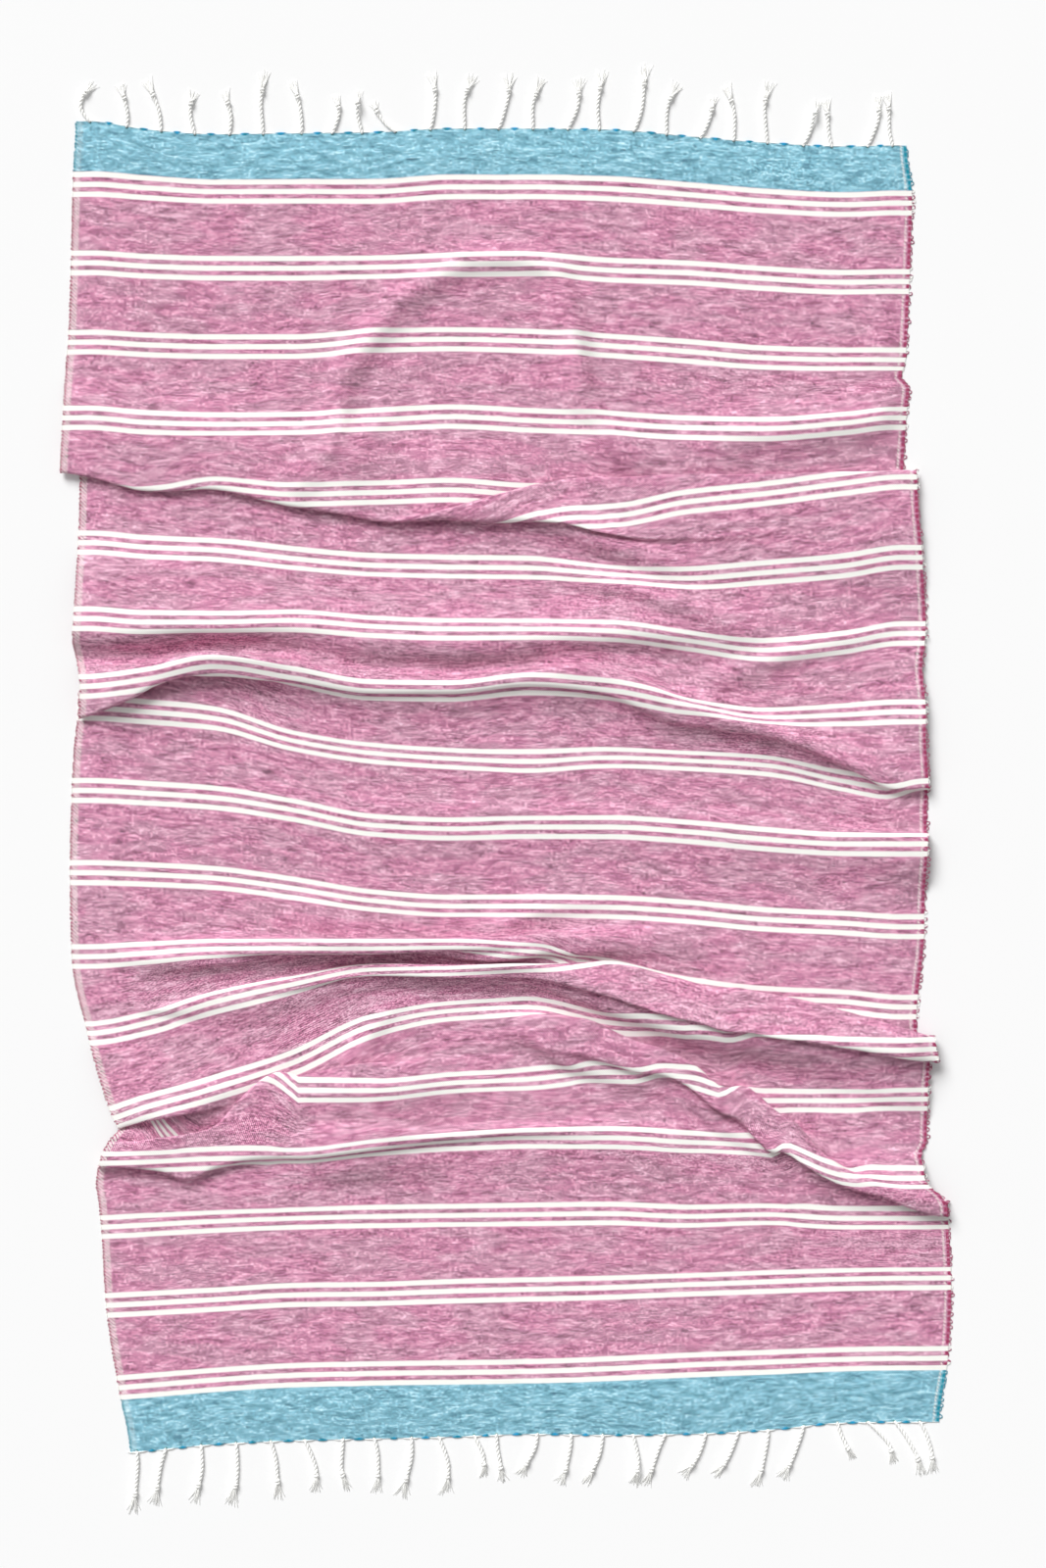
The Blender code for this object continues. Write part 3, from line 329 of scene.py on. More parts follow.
def ease(t):
    t = np.clip(t, 0.0, 1.0)
    return t * t * (3 - 2 * t)


def hump(t):
    return np.sin(np.pi * np.clip(t, 0, 1)) ** 2


def half_turns(v, first, last, first_turn, last_turn):
    """How far the cloth has turned over: 0 before the first turn, 1 between them, 0 after the last."""
    return ease((v - first) / first_turn + 0.5) - ease((v - last) / last_turn + 0.5)


# how much cloth a fold takes up as its two turns, each one unit long, move apart
REACHES = np.linspace(0, 1.2, 61)
BOTH_TURNS = np.linspace(-0.6, 1.9, 2501)
LENGTH_USED = np.array([
    (1 - np.cos(np.pi * half_turns(BOTH_TURNS, 0.0, reach, 1.0, 1.0))).sum() * (BOTH_TURNS[1] - BOTH_TURNS[0])
    for reach in REACHES])


def reach_for(taken_up, turn):
    """Distance between a fold's two turns that takes up the given length of cloth."""
    t = taken_up / turn
    small = np.interp(t, LENGTH_USED, REACHES)
    big = REACHES[-1] + (t - LENGTH_USED[-1]) / 2
    return turn * np.where(t > LENGTH_USED[-1], big, small)


def blurred(values, half, axis):
    """Running mean taken three times, with the end values held."""
    out = np.moveaxis(values, axis, 0)
    count = len(out)
    for _ in range(3):
        padded = np.concatenate([np.repeat(out[:1], half + 1, 0), out, np.repeat(out[-1:], half, 0)])
        total = np.cumsum(padded, 0)
        out = (total[2 * half + 1:] - total[:count]) / (2 * half + 1)
    return np.moveaxis(out, 0, axis)


def highest_near(values, half, axis):
    """The highest value within so many steps either way."""
    out = values.copy()
    for step in range(1, half + 1):
        for way in (-step, step):
            out = np.maximum(out, np.roll(values, way, axis))
    return out


# the least length that counts as a fold, the room that a patch keeps for its climb and its descent, and how
# many strips either way their ends are evened out over
LEAST_FOLD = 0.3
PATCH_ROOM = 15
SPAN_BLUR = 2


def headings(u, v):
    """Slope angle of the cloth along each column, and the stretch that each patch of folds covers."""
    along = v[None, :]
    heading = np.zeros((len(u), len(v)))
    spans = []
    for patch in PATCHES:
        begins = through(patch.begins.at, patch.begins.value, u)
        ends = through(patch.ends.at, patch.ends.value, u)
        laid = []
        for fold in patch.folds:
            lip = through(fold.across, fold.place, u)
            taken = through(fold.across, np.sqrt(fold.taken_up), u) ** 2
            lip_turn = through(fold.across, np.broadcast_to(fold.lip_turn, len(fold.across)), u)
            inner_turn = through(fold.across, np.broadcast_to(fold.inner_turn, len(fold.across)), u)
            reach = reach_for(taken, (lip_turn + inner_turn) / 2)
            if fold.way == RISE:
                turned = half_turns(along, (lip - reach)[:, None], lip[:, None],
                                    inner_turn[:, None], lip_turn[:, None])
            else:
                turned = half_turns(along, lip[:, None], (lip + reach)[:, None],
                                    lip_turn[:, None], inner_turn[:, None])
            heading += fold.way * np.pi * turned
            laid.append((fold.way, lip, reach, taken, (lip_turn + inner_turn) / 4))
        first = np.full(len(u), CLOTH_LENGTH)
        last = np.zeros(len(u))
        for way, lip, reach, taken, half in laid:
            pad = np.minimum(half, 2 * reach)
            before = 0
            after = 0
            for other_way, other_lip, _, other_taken, _ in laid:
                if way == FALL and other_way == RISE:
                    before = before + np.where(other_lip < lip, other_taken, 0)
                if way == RISE and other_way == FALL:
                    after = after + np.where(other_lip > lip, other_taken, 0)
            present = taken > LEAST_FOLD
            first = np.where(present, np.minimum(first, lip - reach - pad - before), first)
            last = np.where(present, np.maximum(last, lip + reach + pad + after), last)
        absent = last == 0
        first = np.where(absent, (begins + ends) / 2, first)
        last = np.where(absent, (begins + ends) / 2, last)
        first = blurred(np.clip(first, begins + PATCH_ROOM, ends - PATCH_ROOM), SPAN_BLUR, 0)
        last = blurred(np.clip(last, begins + PATCH_ROOM, ends - PATCH_ROOM), SPAN_BLUR, 0)
        spans.append((begins, first, last, ends))
    return heading, spans


# the height over which a patch changes from climbing before its folds to descending after them, its
# steepest slope in radians, and the rounds in which that slope is found
CLOSING_BLEND = 12
STEEPEST = 1.1
CLOSING_ROUNDS = 8


def closed_headings(u, v, heading, spans):
    """Adds the gentle climbs and descents that bring each patch back to the table."""
    step = v[1] - v[0]
    along = v[None, :]
    for begins, first, last, ends in spans:
        inside = (along >= begins[:, None]) & (along <= ends[:, None])
        net = -(np.sin(heading) * step * inside).sum(1)
        share = ease(net / CLOSING_BLEND + 0.5)
        climb = hump((along - begins[:, None]) / (first - begins)[:, None])
        descent = hump((along - last[:, None]) / (ends - last)[:, None])
        shape = share[:, None] * climb + (1 - share[:, None]) * descent
        run = (share * (first - begins) + (1 - share) * (ends - last)) / 2
        lean_by = np.zeros(len(u))
        for _ in range(CLOSING_ROUNDS):
            short = -(np.sin(heading + lean_by[:, None] * shape) * step * inside).sum(1)
            lean_by = np.clip(lean_by + short / run, -STEEPEST, STEEPEST)
        heading = heading + lean_by[:, None] * shape
    return heading


# cloth that would sink below the table lifts its neighbours within so many steps along and strips across,
# evened out over the next two
LIFTED_ALONG = 30
LIFTED_ACROSS = 3
LIFT_BLUR_ALONG = 9
LIFT_BLUR_ACROSS = 1


def heights(v, heading, spans):
    """Height of the cloth over the table, to which each patch comes back at both its ends."""
    step = v[1] - v[0]
    z = np.cumsum(np.sin(heading) * step, 1)
    z -= z[:, :1]
    for begins, _, _, ends in spans:
        at_start = np.array([np.interp(place, v, row) for place, row in zip(begins, z)])
        at_end = np.array([np.interp(place, v, row) for place, row in zip(ends, z)])
        t = np.clip((v[None, :] - begins[:, None]) / (ends - begins)[:, None], 0, 1)
        z = z - t * (at_end - at_start)[:, None]
    sunk = highest_near(highest_near(np.maximum(-z, 0), LIFTED_ALONG, 1), LIFTED_ACROSS, 0)
    return np.maximum(z + blurred(blurred(sunk, LIFT_BLUR_ALONG, 1), LIFT_BLUR_ACROSS, 0), 0)


# how far across a hidden stretch of a stripe group still follows the part of it that shows
FOLLOWS_SEEN = 50.0


def stripes_in_place(u, v, down):
    """Slides the cloth along each column until the stripe groups lie where they are seen."""
    places = np.array([row.along for row in STRIPES_LIE])
    seen_at = np.array(SEEN_AT, float)
    shift = np.full((len(STRIPES_LIE), len(u)), np.nan)
    for r, row in enumerate(STRIPES_LIE):
        seen = np.array([value is not None for value in row.down])
        value = np.array([0.0 if value is None else value for value in row.down])
        left = through(LEFT_EDGE.at, LEFT_EDGE.value, places[r:r + 1])[0]
        breadth = through(BREADTH.at, BREADTH.value, places[r:r + 1])[0]
        x = left + u / CLOTH_WIDTH * breadth
        k = np.clip(np.searchsorted(seen_at, x) - 1, 0, len(seen_at) - 2)
        known = np.where(x < seen_at[0], seen[0], np.where(x > seen_at[-1], seen[-1], seen[k] & seen[k + 1]))
        column = int(round(places[r] / (v[1] - v[0])))
        target = through(seen_at[seen], value[seen], x)
        shift[r] = np.where(known, target - down[:, column], np.nan)
    known = ~np.isnan(shift)
    filled = shift.copy()
    for i in range(len(u)):
        filled[:, i] = np.interp(places, places[known[:, i]], shift[known[:, i], i])
    for r in range(len(places)):
        if known[r].all():
            continue
        across = np.interp(u, u[known[r]], shift[r, known[r]])
        away = np.abs(u[:, None] - u[known[r]][None, :]).min(1)
        near = np.exp(-(away / FOLLOWS_SEEN) ** 2)
        filled[r] = near * across + (1 - near) * filled[r]
    return down + np.array([through(places, filled[:, i], v) for i in range(len(u))])


def creased(x, down, across, along):
    """Height that the soft creases and ripples add, the same for every layer at a place."""
    lift = np.zeros_like(x)
    for crease in CREASES:
        nearest = np.full_like(x, np.inf)
        high = np.zeros_like(x)
        stops = list(zip(crease.x, crease.down, crease.high))
        for (x0, down0, high0), (x1, down1, high1) in zip(stops, stops[1:]):
            run_x, run_down = x1 - x0, down1 - down0
            t = ((x - x0) * run_x + (down - down0) * run_down) / (run_x**2 + run_down**2)
            t = np.clip(t, 0, 1)
            away = np.hypot(x - x0 - t * run_x, down - down0 - t * run_down)
            high = np.where(away < nearest, high0 + (high1 - high0) * t, high)
            nearest = np.minimum(away, nearest)
        lift += high * np.exp(-(nearest / crease.spread) ** 2)
    lift -= lift.min()
    for ripple in RIPPLES:
        turn = 2 * np.pi * (x / ripple.x_wave + down / ripple.down_wave) + ripple.lag
        lift += ripple.high * (1 + np.sin(turn)) / 2
    to_edge = np.minimum(np.minimum(across, CLOTH_WIDTH - across), np.minimum(along, CLOTH_LENGTH - along))
    return lift * ease(to_edge / EDGE_CALM)


# the steps along and strips across over which the cloth's bend is evened out, and the shortest section that
# gets rows of its own
BEND_BLUR_ALONG = 2
BEND_BLUR_ACROSS = 1
LEAST_SECTION = 1.0


def section_places(u, v, heading):
    """Places along each column for the mesh's rows, crowded where the cloth turns."""
    bend = np.abs(np.gradient(heading, axis=1)) / (v[1] - v[0])
    total = np.cumsum(EVEN_SHARE + blurred(blurred(bend, BEND_BLUR_ALONG, 1), BEND_BLUR_ACROSS, 0), 1)
    breaks = [(np.zeros(len(u)), ROWS_AT_HEAD)]
    for patch in PATCHES:
        for curve, rows in zip((patch.begins, *patch.parted), patch.rows):
            breaks.append((through(curve.at, curve.value, u), rows))
        breaks.append((through(patch.ends.at, patch.ends.value, u), ROWS_BETWEEN))
    breaks[-1] = (breaks[-1][0], ROWS_AT_FOOT)
    breaks.append((np.full(len(u), CLOTH_LENGTH), 0))
    columns = []
    for i in range(len(u)):
        places = []
        for (here, rows), (there, _) in zip(breaks, breaks[1:]):
            if np.abs(there - here).max() < LEAST_SECTION:
                continue
            finer = rows * ROWS_FINER
            a, b = np.interp([here[i], there[i]], v, total[i])
            places += list(np.interp(a + (b - a) * np.arange(finer) / finer, total[i], v))
        columns.append(places + [CLOTH_LENGTH])
    return np.array(columns)


# u runs across the flat cloth and v along it; where its columns drift sideways it gets ahead more slowly, by
# no less than the root of LEAST_AHEAD
LEAST_AHEAD = 0.3
u = np.linspace(0, CLOTH_WIDTH, FINE_STRIPS + 1)
v = np.linspace(0, CLOTH_LENGTH, int(CLOTH_LENGTH / FINE_STEP) + 1)
heading, spans = headings(u, v)
heading = closed_headings(u, v, heading, spans)
z = heights(v, heading, spans)
left = through(LEFT_EDGE.at, LEFT_EDGE.value, v)
breadth = through(BREADTH.at, BREADTH.value, v)
x = left[None, :] + u[:, None] / CLOTH_WIDTH * breadth[None, :]
drift = np.gradient(x, axis=1) / (v[1] - v[0])
advance = np.cos(heading) * np.sqrt(np.maximum(1 - drift**2, LEAST_AHEAD))
down = np.cumsum(advance * (v[1] - v[0]), 1)
down += (through(HEAD_EDGE.at, HEAD_EDGE.value, u) - down[:, 0])[:, None]
down = stripes_in_place(u, v, down)
z = z + creased(x, down, u[:, None], v[None, :])

places = section_places(u, v, heading)


def at_sections(values):
    return np.array([np.interp(place, v, row) for place, row in zip(places, values)])


middle = np.stack([at_sections(x), at_sections(down), at_sections(z) + CLOTH_THICKNESS / 2], axis=2)

# the table's middle in the part's own frame: the cloth's head edge and its middle across lie where the
# solid's do
cloth_low, cloth_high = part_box("towel_cloth")
CENTRE_X = (middle[:, :, 0].min() + middle[:, :, 0].max()) / 2 - (cloth_low[0] + cloth_high[0]) / 2 / MM
CENTRE_DOWN = middle[:, :, 1].min() + cloth_high[1] / MM


def in_model(points):
    """Table millimetres to metres in the part's frame, head end towards +Y."""
    points = np.array(points, float)
    return np.stack([points[..., 0] - CENTRE_X, CENTRE_DOWN - points[..., 1], points[..., 2]], axis=-1) * MM


def linked(name, points, faces):
    """A mesh object of that name from its points and faces, linked to the scene and alone selected."""
    mesh = bpy.data.meshes.new(name)
    mesh.from_pydata([tuple(point) for point in points], [], faces)
    made = bpy.data.objects.new(name, mesh)
    bpy.context.scene.collection.objects.link(made)
    bpy.ops.object.select_all(action="DESELECT")
    made.select_set(True)
    bpy.context.view_layer.objects.active = made
    return made


across_way = np.gradient(middle, axis=0)
along_way = np.gradient(middle, axis=1)
normal = np.cross(along_way, across_way)
normal /= np.linalg.norm(normal, axis=2)[:, :, None]
upper = middle + normal * CLOTH_THICKNESS / 2
lower = middle - normal * CLOTH_THICKNESS / 2
lower[:, :, 2] = np.maximum(lower[:, :, 2], 0.0)
columns, rows = middle.shape[:2]
top = np.arange(columns * rows).reshape(columns, rows)
bottom = top + columns * rows
cells = [(i, j) for i in range(columns - 1) for j in range(rows - 1)]
faces = [(top[i, j], top[i, j + 1], top[i + 1, j + 1], top[i + 1, j]) for i, j in cells]
faces += [(bottom[i, j], bottom[i + 1, j], bottom[i + 1, j + 1], bottom[i, j + 1]) for i, j in cells]
rim = [(i, 0) for i in range(columns)]
rim += [(columns - 1, j) for j in range(1, rows)]
rim += [(i, rows - 1) for i in range(columns - 2, -1, -1)]
rim += [(0, j) for j in range(rows - 2, 0, -1)]
for here, there in zip(rim, rim[1:] + rim[:1]):
    faces.append((top[here], top[there], bottom[there], bottom[here]))
cloth = linked("towel", in_model(np.concatenate([upper.reshape(-1, 3), lower.reshape(-1, 3)])),
               [tuple(int(k) for k in face) for face in faces])
SMOOTH_UNDER = math.radians(60)
bpy.ops.object.shade_smooth_by_angle(angle=SMOOTH_UNDER)

# the flat cloth's own coordinates, in metres, so that the weave follows every fold
flat_u = np.tile(np.repeat(u, rows), 2) * MM
flat_v = np.tile(places.reshape(-1), 2) * MM
corner = np.empty(len(cloth.data.loops), int)
cloth.data.loops.foreach_get("vertex_index", corner)
woven = cloth.data.uv_layers.new(name="woven")
woven.uv.foreach_set("vector", np.stack([flat_u[corner], flat_v[corner]], 1).astype(np.float32).ravel())


class Signal:
    """A shader value: sums of signals add Math nodes, and node() adds any other kind."""

    def __init__(self, tree, socket=None):
        self.tree = tree
        self.socket = socket

    def node(self, kind, settings, sockets, output=0):
        made = self.tree.nodes.new(kind)
        for name, value in settings.items():
            if name == "stops":
                ramp = made.color_ramp.elements
                while len(ramp) < len(value):
                    ramp.new(0.5)
                for element, (place, colour) in zip(ramp, value):
                    element.position = place
                    element.color = (*colour, 1.0)
            else:
                setattr(made, name, value)
        self.plug(made, sockets)
        return Signal(self.tree, made.outputs[output])

    def plug(self, node, sockets):
        """Gives a node's sockets their values, or links them to other signals."""
        for key, value in sockets.items():
            if isinstance(value, Signal):
                self.tree.links.new(value.socket, node.inputs[key])
            else:
                node.inputs[key].default_value = value

    def math(self, operation, *others):
        return self.node("ShaderNodeMath", {"operation": operation}, dict(enumerate((self, *others))))

    def __add__(self, other):
        return self.math("ADD", other)

    def __sub__(self, other):
        return self.math("SUBTRACT", other)

    def __rsub__(self, other):
        return self.node("ShaderNodeMath", {"operation": "SUBTRACT"}, {0: other, 1: self})

    def __mul__(self, other):
        return self.math("MULTIPLY", other)

    def __mod__(self, other):
        return self.math("FLOORED_MODULO", other)

    def __gt__(self, other):
        return self.math("GREATER_THAN", other)

    def __lt__(self, other):
        return self.math("LESS_THAN", other)

    __radd__ = __add__
    __rmul__ = __mul__

    def coordinate(self, axis):
        """One number of a place: 0 for x, 1 for y."""
        return self.node("ShaderNodeSeparateXYZ", {}, {0: self}, output=axis)

    def wave(self):
        """A sine of this angle, from 0 to 1."""
        return self.math("SINE") * 0.5 + 0.5

    def between(self, low, high):
        """0 at low, 1 at high and smooth between them; low may be the greater of the two."""
        settings = {"interpolation_type": "SMOOTHSTEP"}
        return self.node("ShaderNodeMapRange", settings, {"Value": self, "From Min": low, "From Max": high})

    def mixed(self, first, second):
        """The first colour where this is 0 and the second where it is 1."""
        sockets = {"Factor": self, 6: first, 7: second}
        return self.node("ShaderNodeMix", {"data_type": "RGBA"}, sockets, output=2)

    def noise(self, detail, roughness, *stretched):
        """Soft random values from 0 to 1 over the given coordinates."""
        place = self.node("ShaderNodeCombineXYZ", {}, dict(enumerate(stretched)))
        sockets = {"Vector": place, "Scale": 1.0, "Detail": detail, "Roughness": roughness}
        return self.node("ShaderNodeTexNoise", {"noise_dimensions": "3D"}, sockets)


def new_material(name):
    """A material with nothing but its shader; gives it, an empty signal and the shader's node."""
    material = bpy.data.materials.new(name)
    material.use_nodes = True
    return material, Signal(material.node_tree), material.node_tree.nodes["Principled BSDF"]


def coloured(red, green, blue):
    """A colour as seen on a screen, 0 to 255, as the shader's linear one."""
    return (*((value / 255) ** 2.2 for value in (red, green, blue)), 1.0)


# The weft is unevenly dyed from plum to pale pink, or slate to pale turquoise at the ends, and the white
# warp crosses over it in fine diagonals. Darkest to palest, as seen on a screen.
PINKS = ((88, 72, 80), (156, 90, 120), (212, 136, 170), (243, 172, 203), (255, 224, 240))
MAUVES = ((94, 78, 86), (153, 100, 124), (206, 145, 171), (237, 180, 205), (253, 226, 240))
TURQUOISES = ((62, 92, 112), (96, 142, 162), (128, 190, 210), (160, 222, 240), (226, 250, 255))
TONES_AT = (0.0, 0.25, 0.5, 0.75, 1.0)
WHITE = coloured(253, 252, 247)
WHITE_SHADED = coloured(238, 234, 226)
ROSE = coloured(190, 74, 116)
DEEP_ROSE = coloured(124, 42, 74)
TEAL = coloured(20, 138, 160)
PICK = 1.45
TWILL = 2.3
TWILL_SLANT = 0.93
TWILL_SHOWS = 0.45
MIDDLE_TONE = 0.5
# soft random patterns: how fine across and along the cloth, which layer of the noise they read, and how
# strongly they change the tone; the clouds only turn the weft from pink to mauve
Pattern = namedtuple("Pattern", "detail roughness across along layer shows")
SLUBS = Pattern(2.0, 0.6, 0.085, 2.37, 0.0, shows=1.15)
DYE = Pattern(2.0, 0.6, 0.045, 0.16, 5.0, shows=0.95)
FLECKS = Pattern(1.0, 0.6, 0.34, 0.62, 7.0, shows=1.3)
GRAIN = Pattern(0.0, 0.5, 0.95, 1.05, 11.0, shows=0.8)
CLOUDS = Pattern(1.0, 0.5, 0.016, 0.05, 3.0, shows=0.0)
CLOUD_TURNS = (0.40, 0.60)

cloth_material, weave, shader = new_material("woven_stripes")
flat = weave.node("ShaderNodeUVMap", {"uv_map": "woven"}, {})
across_mm = flat.coordinate(0) * (1 / MM)
along_mm = flat.coordinate(1) * (1 / MM)


def patterned(pattern, along):
    """A pattern over the cloth, by its place across and the given one along."""
    return weave.noise(pattern.detail, pattern.roughness, across_mm * pattern.across,
                       along * pattern.along, pattern.layer)


# each weft pick has its own slubs; slower patches of dye, short flecks and the twill's diagonal join them
pick = (along_mm * (1 / PICK)).math("FLOOR")
slub = patterned(SLUBS, pick)
dye = patterned(DYE, along_mm)
fleck = patterned(FLECKS, along_mm)
cloud = patterned(CLOUDS, along_mm)
grain = patterned(GRAIN, along_mm)
twill = ((across_mm - along_mm * TWILL_SLANT) * (2 * math.pi / TWILL)).wave()
tone = MIDDLE_TONE
for signal, shows in ((slub, SLUBS.shows), (dye, DYE.shows), (fleck, FLECKS.shows), (grain, GRAIN.shows),
                      (twill, TWILL_SHOWS)):
    tone = tone + (signal - MIDDLE_TONE) * shows


def melange(tones):
    """The weft's colour, from its darkest to its palest by tone."""
    stops = [(place, coloured(*colour)[:3]) for place, colour in zip(TONES_AT, tones)]
    return weave.node("ShaderNodeValToRGB", {"stops": stops}, {"Fac": tone})


# the white lines: how soft and uneven their edges are, and how much the grain shades them
LINE_SOFT = 0.35
LINE_SLACK = 1.0
GRAIN_WOBBLE = 0.5
SLUB_WOBBLE = 0.8
LINE_GRAIN = (0.45, 0.85)
LINE_GRAIN_SHOWS = 0.4
past_close = along_mm - (HEAD_BAND + CLOSE_PITCH * CLOSE_STEPS)
in_close = (along_mm - HEAD_BAND) % CLOSE_PITCH
in_wide = past_close % WIDE_PITCH
wide = past_close > 0.0
phase = in_close + (in_wide - in_close) * wide
wobble = (grain - MIDDLE_TONE) * GRAIN_WOBBLE + (slub - MIDDLE_TONE) * SLUB_WOBBLE
in_line = (phase + wobble) % (LINE_WIDTH + LINE_GAP)
band = (along_mm < HEAD_BAND) + (along_mm > CLOTH_LENGTH - FOOT_BAND)
band = band.math("MINIMUM", 1.0)
line_begins = in_line.between(0.0, 2 * LINE_SOFT)
line_ends = in_line.between(LINE_WIDTH + LINE_SOFT, LINE_WIDTH - LINE_SOFT)
white_line = line_begins * line_ends * (phase + wobble < GROUP_WIDTH + LINE_SLACK) * (1.0 - band)

field = cloud.between(*CLOUD_TURNS).mixed(melange(PINKS), melange(MAUVES))
colour = band.mixed(field, melange(TURQUOISES))
line_white = (grain.between(*LINE_GRAIN) * LINE_GRAIN_SHOWS).mixed(WHITE, WHITE_SHADED)
colour = white_line.mixed(colour, line_white)

# each selvedge has a strip of doubled warp, which shows as slanting pale stitches: how wide it is, and how
# far apart, how slanting and how strong the stitches are on each side
SELVEDGE = 7.5
SELVEDGE_SOFT = 0.8
STITCH = 3.8
STITCH_SLANT = 0.9
STITCH_UNEVEN = 1.2
DASH_BEGINS = (0.5, 1.1)
DASH_ENDS = (STITCH - 0.6, STITCH - 1.4)
LEFT_STRIP = 0.06
LEFT_DASH = 0.62
LEFT_LESS_IN_BANDS = 0.6
RIGHT_STRIP_BEGINS = (4.8, 5.4)
RIGHT_DASH = 0.85
to_edge = across_mm.math("MINIMUM", CLOTH_WIDTH - across_mm)
right = across_mm > CLOTH_WIDTH / 2
strip = to_edge.between(SELVEDGE + SELVEDGE_SOFT, SELVEDGE - SELVEDGE_SOFT) * (1.0 - white_line)
stitch = (along_mm - across_mm * STITCH_SLANT + grain * STITCH_UNEVEN) % STITCH
dash = stitch.between(*DASH_BEGINS) * stitch.between(*DASH_ENDS)
on_left = (1.0 - right) * (1.0 - band * LEFT_LESS_IN_BANDS) * (LEFT_STRIP + dash * LEFT_DASH)
on_right = right * to_edge.between(*RIGHT_STRIP_BEGINS) * dash * RIGHT_DASH
colour = (strip * (on_left + on_right)).mixed(colour, WHITE_SHADED)

# outside the strip the weft turns back: a narrow row of dashes on the left, broader tufts on the right
TURNED_WEFT = (2.0, 1.2)
BROADER_ON_RIGHT = 1.7
TURNED_COVERS = 0.95
TURNED_MOTTLE = (0.38, 0.62)
TUFT = 6.2
TUFT_UNEVEN = 2.0
TUFT_GAP_BEGINS = (0.6, 1.4)
TUFT_GAP_ENDS = (3.2, 2.4)
GAP_FADES = 0.75
outer = (to_edge - right * BROADER_ON_RIGHT).between(*TURNED_WEFT) * (1.0 - white_line)
turned_colour = grain.between(*TURNED_MOTTLE).mixed(DEEP_ROSE, ROSE)
tuft = (along_mm + grain * TUFT_UNEVEN) % TUFT
tuft_gap = tuft.between(*TUFT_GAP_BEGINS) * tuft.between(*TUFT_GAP_ENDS)
fading = dash * (1.0 - right) * GAP_FADES + tuft_gap * right * GAP_FADES
colour = (outer * (TURNED_COVERS - fading)).mixed(colour, band.mixed(turned_colour, TEAL))

# how much the twill, the slubs and the white lines stand up, and how high the yarn's relief is, in metres
TWILL_STANDS = 0.4
SLUB_STANDS = 0.8
LINE_STANDS = 0.4
YARN_RELIEF = 0.0004
DULL = 0.15
relief = twill * TWILL_STANDS + slub * SLUB_STANDS + white_line * LINE_STANDS
bump = weave.node("ShaderNodeBump", {}, {"Height": relief, "Strength": 0.3, "Distance": YARN_RELIEF})
weave.plug(shader, {"Base Color": colour, "Normal": bump, "Roughness": 0.92, "Specular IOR Level": DULL,
                    "Sheen Weight": 0.12})
cloth.data.materials.append(cloth_material)
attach(cloth, "root")
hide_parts("towel_cloth")

# ==== the selvedges ===============================================================================
# At each side the weft turns back round the last warp ends and leaves a row of small loops, close and even
# on the left, looser on the right. They are the same yarn as the weft beside them.
LOOP_YARN = 0.5
LOOP_BEND = math.radians(115)
LOOP_POINTS = 6
LOOP_SIDES = 4
# the loops take the colour that the flat cloth has this far in from its edge
EDGE_COLOUR_AT = 1.2
# the sheet's edge column and the one inside it, then the loops' pitch, width, reach and unevenness
Side = namedtuple("Side", "name column inner pitch span reach uneven")
SIDES = (Side("selvedge_left", 0, 1, 3.9, 2.6, 0.9, 0.35),
         Side("selvedge_right", -1, -2, 6.2, 4.2, 2.3, 0.75))
HAND_SEED = 12
hand = np.random.default_rng(HAND_SEED)
UP = (0.0, 0.0, 1.0)


def beside_and_over(line):
    """The level direction across a line of points and the one over it, at each point."""
    way = np.gradient(line, axis=0)
    way /= np.linalg.norm(way, axis=1)[:, None]
    side = np.cross(way, UP)
    side /= np.linalg.norm(side, axis=1)[:, None]
    return side, np.cross(side, way)


def yarn(line, radius, sides):
    """A closed round yarn along a line of points: its points, faces and a mark (round, along) per corner."""
    line = np.asarray(line, float)
    radius = np.broadcast_to(np.asarray(radius, float), len(line))
    side, over = beside_and_over(line)
    turn = 2 * np.pi * np.arange(sides) / sides
    ring = np.cos(turn)[None, :, None] * side[:, None, :] + np.sin(turn)[None, :, None] * over[:, None, :]
    points = (line[:, None, :] + ring * radius[:, None, None]).reshape(-1, 3)
    run = np.concatenate([[0.0], np.cumsum(np.linalg.norm(np.diff(line, axis=0), axis=1))])
    faces = []
    marks = []
    for k in range(len(line) - 1):
        for n in range(sides):
            m = (n + 1) % sides
            faces.append((k * sides + n, k * sides + m, (k + 1) * sides + m, (k + 1) * sides + n))
            here, there = n / sides, (n + 1) / sides
            marks += [(here, run[k]), (there, run[k]), (there, run[k + 1]), (here, run[k + 1])]
    last = (len(line) - 1) * sides
    faces.append(tuple(range(sides)))
    faces.append(tuple(range(last, last + sides)))
    marks += [(n / sides, 0.0) for n in range(sides)] + [(n / sides, run[-1]) for n in range(sides)]
    return points, faces, marks


def bundle(name, yarns, uv_name, material):
    """One object of many yarns given in table millimetres, with its normals out and its own UV map."""
    points = []
    faces = []
    marks = []
    count = 0
    for yarn_points, yarn_faces, yarn_marks in yarns:
        points.append(yarn_points)
        faces += [tuple(k + count for k in face) for face in yarn_faces]
        marks += yarn_marks
        count += len(yarn_points)
    made = linked(name, in_model(np.concatenate(points)), faces)
    layer = made.data.uv_layers.new(name=uv_name)
    layer.uv.foreach_set("vector", np.array(marks, np.float32).ravel())
    body = bmesh.new()
    body.from_mesh(made.data)
    bmesh.ops.recalc_face_normals(body, faces=body.faces)
    body.to_mesh(made.data)
    body.free()
    bpy.ops.object.shade_smooth()
    made.data.materials.append(material)
    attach(made, "root")
    return made


